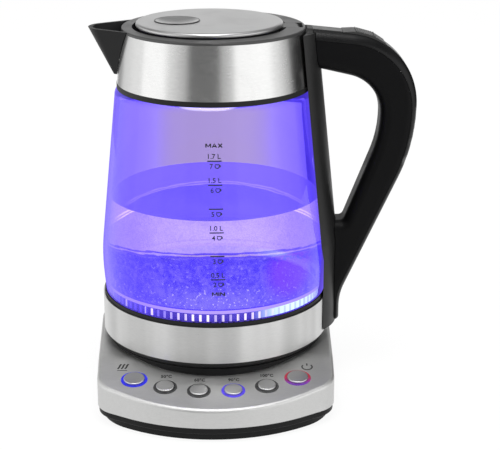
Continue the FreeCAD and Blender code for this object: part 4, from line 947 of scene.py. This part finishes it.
# Strokes of the bold capitals, on a square of one, and the share of their height that they are wide
BOLD_LETTERS = {
    "M": (0.92, [[(0, 0), (0, 1)], [(0, 1), (0.5, 0.25), (1, 1)], [(1, 1), (1, 0)]]),
    "A": (0.86, [[(0, 0), (0.5, 1), (1, 0)], [(0.2, 0.32), (0.8, 0.32)]]),
    "X": (0.78, [[(0, 0), (1, 1)], [(0, 1), (1, 0)]]),
    "I": (0.0, [[(0, 0), (0, 1)]]),
    "N": (0.85, [[(0, 0), (0, 1)], [(0, 1), (1, 0)], [(1, 0), (1, 1)]]),
}


def bold_word(word, height, ink):
    """A word in bold capitals, as printed lines round the origin."""
    stroke, gap = height * 0.25, height * 0.33
    widths = [BOLD_LETTERS[letter][0] * height for letter in word]
    start = -(sum(widths) + gap * (len(word) - 1)) / 2
    lines = []
    for letter, width in zip(word, widths):
        for path in BOLD_LETTERS[letter][1]:
            points = [(start + x * width, (y - 0.5) * (height - stroke)) for x, y in path]
            lines.append(drawn_line(points, stroke, ink))
        start += width + gap
    return lines


def cup_lines(ink):
    """A small cup with its handle, as printed lines round the origin."""
    half, foot, top, low = 0.0013, 0.0006, 0.0011, -0.0012
    stroke = 0.00062
    bowl = [(-half, top), (-half, low * 0.2), (-foot, low), (foot, low), (half, low * 0.2), (half, top)]
    ear = arc_points(0.0007, 80, -80, 8, (half, 0.0002))
    return [drawn_line(bowl, stroke, ink, closed=True), drawn_line(ear, stroke, ink)]


class KETTLE_OT_scale(Operator):
    """Prints the litre and cup scale on the front of the glass"""
    bl_idname = "kettle.scale"
    bl_label = "Litre scale"

    def execute(self, context):
        marks = context.scene.kettle_marks
        ink, letter = marks.ink, marks.letter_height
        litres = ("0.5 L", "", "1.0 L", "", "1.5 L", "1.7 L")
        # Litres over a line, cups under it, and the two words beyond the last lines
        over, under, beyond = 0.0030, 0.0034, 0.0099
        figure_aside, cup_aside = -0.0021, 0.0016
        weight = 0.00006
        material = printing_ink("scale_ink", (0.004, 0.004, 0.014))
        sizes = {"Count": len(litres), "Pitch": marks.tick_pitch, "Width": marks.tick_width,
                 "Stroke": marks.tick_stroke, "Ink": ink}
        tree, given = rule_tree("scale_ticks", sizes)
        rows = grow(tree, "MeshLine", Count=given["Count"], Offset=vector_of(tree, Y=given["Pitch"]))
        size = vector_of(tree, X=given["Width"], Y=given["Stroke"], Z=given["Ink"])
        bar = grow(tree, "MeshCube", Size=size, Vertices_X=13)
        repeat_shape(tree, given, rows, bar)

        prints = [(grown_mesh(tree, sizes, material), 0.0, 0.0)]
        for i, words in enumerate(litres):
            level = i * marks.tick_pitch
            if words:
                prints.append((lettering(words, letter, ink, weight, widen=1.06), 0.0, level + over))
            prints.append((lettering(str(i + 2), letter, ink, weight), figure_aside, level - under))
            prints += [(line, cup_aside, level - under) for line in cup_lines(ink)]
        highest = (len(litres) - 1) * marks.tick_pitch
        for word, level in (("MIN", -beyond), ("MAX", highest + beyond)):
            prints += [(line, 0.0, level) for line in bold_word(word, letter, ink)]
        mesh = joined([(flat, Matrix.Translation((x, y, 0.0))) for flat, x, y in prints])
        for vertex in mesh.vertices:
            height = marks.tick_low + vertex.co.y
            out = radius_at(GLASS_OUTER, height) + vertex.co.z + ink
            turn = marks.turn + (vertex.co.x - vertex.co.y * math.tan(marks.lean)) / out
            vertex.co = (out * math.sin(turn), -out * math.cos(turn), height)
        new_piece("litre_scale", mesh, material, "jug")
        return {"FINISHED"}


def key_place(key):
    """The middle of the top of a key's light ring on the panel."""
    corners = [vertex.co for vertex in NODES["ring_" + key].data.vertices]
    highest = max(corner.dot(PANEL_NORMAL) for corner in corners)
    rim = [corner for corner in corners if corner.dot(PANEL_NORMAL) > highest - 1e-5]
    return sum(rim, Vector()) / len(rim)


def keep_warm_lines(ink):
    """Three rising waves over a bar, as printed lines round the origin."""
    pitch, lean, swing, rise, steps = 0.0024, 0.0022, 0.00020, 0.0056, 12
    lines = []
    for column in (-1, 0, 1):
        wave = []
        for part in (step / steps for step in range(steps + 1)):
            across = column * pitch + (part - 0.5) * lean + swing * math.sin(part * 2 * math.pi)
            wave.append((across, (part - 0.5) * rise))
        lines.append(drawn_line(wave, 0.0012, ink))
    lines.append(drawn_line([(-0.0037, -0.0046), (0.0030, -0.0046)], 0.0006, ink))
    return lines


def power_lines(ink):
    """A broken circle with a bar in its gap, as printed lines round the origin."""
    return [drawn_line(arc_points(0.0034, 140, 400), 0.0010, ink),
            drawn_line([(0.0, 0.0014), (0.0, 0.0040)], 0.0010, ink)]


class KETTLE_OT_key_marks(Operator):
    """Prints the temperatures and the two symbols behind the keys"""
    bl_idname = "kettle.key_marks"
    bl_label = "Key marks"

    def execute(self, context):
        marks = context.scene.kettle_marks
        ink = marks.ink
        # How far the rings stand out of the panel
        proud = 0.00025
        weight, stretch = 0.00013, 1.3
        axes = Matrix((Vector((1, 0, 0)), PANEL_UP, PANEL_NORMAL)).transposed().to_4x4()
        symbols = {"keep_warm": (keep_warm_lines(ink), (-0.0082, 0.0155)),
                   "power": (power_lines(ink), (0.0070, 0.0130))}
        printed = []
        for key in KEYS:
            if key in symbols:
                shapes, (aside, step) = symbols[key]
            else:
                shapes = [lettering(key + "°C", marks.label_height, ink, weight, stretch)]
                aside, step = 0.0004, marks.label_step
            ground = key_place(key) - PANEL_NORMAL * (proud - ink / 2)
            shift = Matrix.Translation(ground) @ axes @ Matrix.Translation((aside, step, 0.0))
            printed += [(shape, shift) for shape in shapes]
        new_piece("key_marks", joined(printed), printing_ink("panel_ink", (0.02, 0.02, 0.02)), "base")
        return {"FINISHED"}


class KETTLE_OT_button_ribs(Operator):
    """Puts the grip ribs across the lid button"""
    bl_idname = "kettle.button_ribs"
    bl_label = "Button ribs"

    def execute(self, context):
        crest_depth, sunk = 0.0003, 0.0001
        along = Vector((0, 1, 0)).cross(BUTTON_UP).normalized()
        corners = [vertex.co for vertex in NODES["lid_button"].data.vertices]
        crown = max(corner.dot(BUTTON_UP) for corner in corners)
        crest = [corner for corner in corners if corner.dot(BUTTON_UP) > crown - crest_depth]
        middle = sum(corner.dot(along) for corner in crest) / len(crest)
        sizes = {"Count": 9, "Pitch": 0.0016, "Rib radius": 0.00038, "Width": 0.0145}
        tree, given = rule_tree("button_ribs", sizes)
        row = grow(tree, "MeshLine", Count=given["Count"], Offset=vector_of(tree, X=given["Pitch"]))
        bar = grow(tree, "MeshCylinder", Vertices=12, Radius=given["Rib radius"], Depth=given["Width"])
        repeat_shape(tree, given, row, bar, Rotation=(math.pi / 2, 0.0, 0.0))
        material = NODES["lid_button"].material_slots[0].material
        mesh = grown_mesh(tree, sizes, material)
        start = along * (middle - sizes["Pitch"] * (sizes["Count"] - 1) / 2) + BUTTON_UP * (crown - sunk)
        axes = Matrix((along, (0, 1, 0), BUTTON_UP)).transposed().to_4x4()
        mesh.transform(Matrix.Translation(start) @ axes)
        mesh.set_sharp_from_angle(angle=math.radians(50))
        new_piece("button_ribs", mesh, material, "lid_button")
        return {"FINISHED"}


def stage_mesh(name, mesh, material):
    mesh.materials.append(material)
    piece = bpy.data.objects.new(name, mesh)
    bpy.context.scene.collection.objects.link(piece)
    return piece


def four_sided(name, corners):
    mesh = bpy.data.meshes.new(name)
    mesh.from_pydata(corners, [], [(0, 1, 2, 3)])
    return mesh


def floor_material():
    """A white floor that shows as white and keeps a soft shadow."""
    material, tree, shader, place = new_material("studio_floor", Roughness=0.9, Specular_IOR_Level=0.0)
    paper = noise(tree, place, 40.0, 3.0)
    feed(shader, Base_Color=blend_colours(tree, paper, (0.90, 0.90, 0.90), (0.93, 0.93, 0.93)))
    glow = add(tree, "ShaderNodeEmission", {"Color": rgba(WHITE), "Strength": 1.0})
    # Only rays from the camera, from mirrors and through glass see the glow
    path = add(tree, "ShaderNodeLightPath").outputs
    seen = greater(tree, path["Is Camera Ray"], path["Is Glossy Ray"])
    seen = greater(tree, seen, path["Is Transmission Ray"])
    mix_shaders(tree, times(tree, seen, 0.90), shader, glow)
    return material


# Brightness of the screen round the studio, by its turn in degrees from the camera, positive to the right
SCREEN_STOPS = (
    (-180, 0.66), (-160, 0.66), (-150, 0.22), (-139, 0.30), (-128, 0.60), (-100, 0.75), (-90, 1.0),
    (-60, 1.0), (-52, 0.66), (-33, 0.42), (-26, 0.09), (5, 0.09), (10, 0.40), (20, 0.50), (26, 1.0),
    (66, 1.0), (77, 0.75), (97, 0.42), (104, 0.10), (125, 0.04), (140, 0.04), (160, 0.66), (179, 0.66))


def screen_material():
    """Bright and dark panels round the studio, which only mirrors see."""
    material, tree, shader, place = new_material("studio_screen")
    tree.nodes.remove(shader)
    turn = add(tree, "ShaderNodeTexGradient", {0: place}, gradient_type="RADIAL").outputs[1]
    ramp = add(tree, "ShaderNodeValToRGB", {0: turn})
    ramp.color_ramp.interpolation = "EASE"
    stops = sorted(((0.25 + bearing / 360) % 1.0, tone) for bearing, tone in SCREEN_STOPS)
    points = ramp.color_ramp.elements
    while len(points) < len(stops):
        points.new(0.5)
    for point, (where, tone) in zip(points, stops):
        point.position = where
        point.color = (tone, tone, tone, 1.0)
    overhead = fade(tree, axes_of(tree, place)["Z"], 0.50, 0.66)
    tone = blend_colours(tree, overhead, ramp.outputs[0], (0.20, 0.20, 0.20))
    show_surface(tree, add(tree, "ShaderNodeEmission", {"Color": tone, "Strength": 1.55}))
    return material


def card_material():
    """A bright card over the camera, which only mirrors see."""
    material, tree, shader, place = new_material("studio_card", Emission_Strength=2.6)
    weave = noise(tree, place, 30.0, 2.0)
    feed(shader, Emission_Color=blend_colours(tree, weave, (0.9, 0.9, 0.9), WHITE))
    material.cycles.emission_sampling = "AUTO"
    return material


class KETTLE_OT_stage(Operator):
    """Sets up the floor, the screen, the card, the lamps, the world and the camera"""
    bl_idname = "kettle.stage"
    bl_label = "Studio"

    def execute(self, context):
        studio = context.scene.kettle_studio
        half = 9.0
        floor = [(-half, -half, 0), (half, -half, 0), (half, half, 0), (-half, half, 0)]
        stage_mesh("studio_floor", four_sided("floor", floor), floor_material())
        reach, foot = studio.screen_radius, 0.001
        screen = lathe([(reach, foot), (reach, studio.screen_height)], 96)
        side, (near, low), (far, high) = 0.2, (-0.80, 0.80), (-0.34, 1.42)
        card = [(-side, near, low), (side, near, low), (side, far, high), (-side, far, high)]
        for mirrored in (stage_mesh("studio_screen", screen, screen_material()),
                         stage_mesh("studio_card", four_sided("card", card), card_material())):
            for rays in ("camera", "diffuse", "transmission", "volume_scatter", "shadow"):
                setattr(mirrored, "visible_" + rays, False)

        world = bpy.data.worlds.new("studio")
        world.use_nodes = True
        context.scene.world = world
        sky = world.node_tree.nodes["Background"]
        sky.inputs["Color"].default_value = rgba(WHITE)
        sky.inputs["Strength"].default_value = studio.ambient

        aim = Vector((0, 0, 0.12))
        for name, place, size, power in (
                ("key_lamp", (-1.1, -0.8, 1.2), 0.9, 4.0), ("fill_lamp", (1.3, -0.5, 1.0), 0.9, 3.0),
                ("top_lamp", (0.0, -0.35, 1.45), 0.55, 8.0)):
            lamp = bpy.data.lights.new(name, "AREA")
            lamp.size = size
            lamp.energy = power
            holder = bpy.data.objects.new(name, lamp)
            holder.location = place
            holder.rotation_euler = (aim - Vector(place)).to_track_quat("-Z", "Y").to_euler()
            context.scene.collection.objects.link(holder)

        camera = bpy.data.cameras.new("camera")
        camera.lens = studio.lens
        camera.sensor_width = 36.0
        holder = bpy.data.objects.new("camera", camera)
        holder.location = studio.eye
        holder.rotation_euler = (math.pi / 2 - studio.pitch, 0.0, studio.turn)
        context.scene.collection.objects.link(holder)
        context.scene.camera = holder
        context.scene.view_settings.view_transform = "Standard"
        return {"FINISHED"}


GROUPS = (("kettle_finishes", KettleFinishes), ("kettle_water", KettleWater), ("kettle_marks", KettleMarks),
          ("kettle_studio", KettleStudio))
STEPS = (KETTLE_OT_metal, KETTLE_OT_plastic, KETTLE_OT_glass, KETTLE_OT_water, KETTLE_OT_bubbles,
         KETTLE_OT_light_ring, KETTLE_OT_scale, KETTLE_OT_key_marks, KETTLE_OT_button_ribs, KETTLE_OT_stage)


class KETTLE_PT_sidebar(Panel):
    """Sizes, colours and steps of the kettle"""
    bl_idname = "KETTLE_PT_sidebar"
    bl_label = "Kettle"
    bl_space_type = "VIEW_3D"
    bl_region_type = "UI"
    bl_category = "Kettle"

    def draw(self, context):
        for name, group in GROUPS:
            box = self.layout.box()
            box.label(text=group.__doc__)
            for key in group.__annotations__:
                box.prop(getattr(context.scene, name), key)
        for step in STEPS:
            self.layout.operator(step.bl_idname)


def register():
    for name, group in GROUPS:
        bpy.utils.register_class(group)
        setattr(bpy.types.Scene, name, PointerProperty(type=group))
    for kind in (*STEPS, KETTLE_PT_sidebar):
        bpy.utils.register_class(kind)


def unregister():
    for kind in (KETTLE_PT_sidebar, *reversed(STEPS)):
        bpy.utils.unregister_class(kind)
    for name, group in reversed(GROUPS):
        delattr(bpy.types.Scene, name)
        bpy.utils.unregister_class(group)


def main():
    """Registers the add-on and runs every step in order."""
    register()
    for step in STEPS:
        family, name = step.bl_idname.split(".")
        getattr(getattr(bpy.ops, family), name)()


if __name__ == "__main__":
    main()
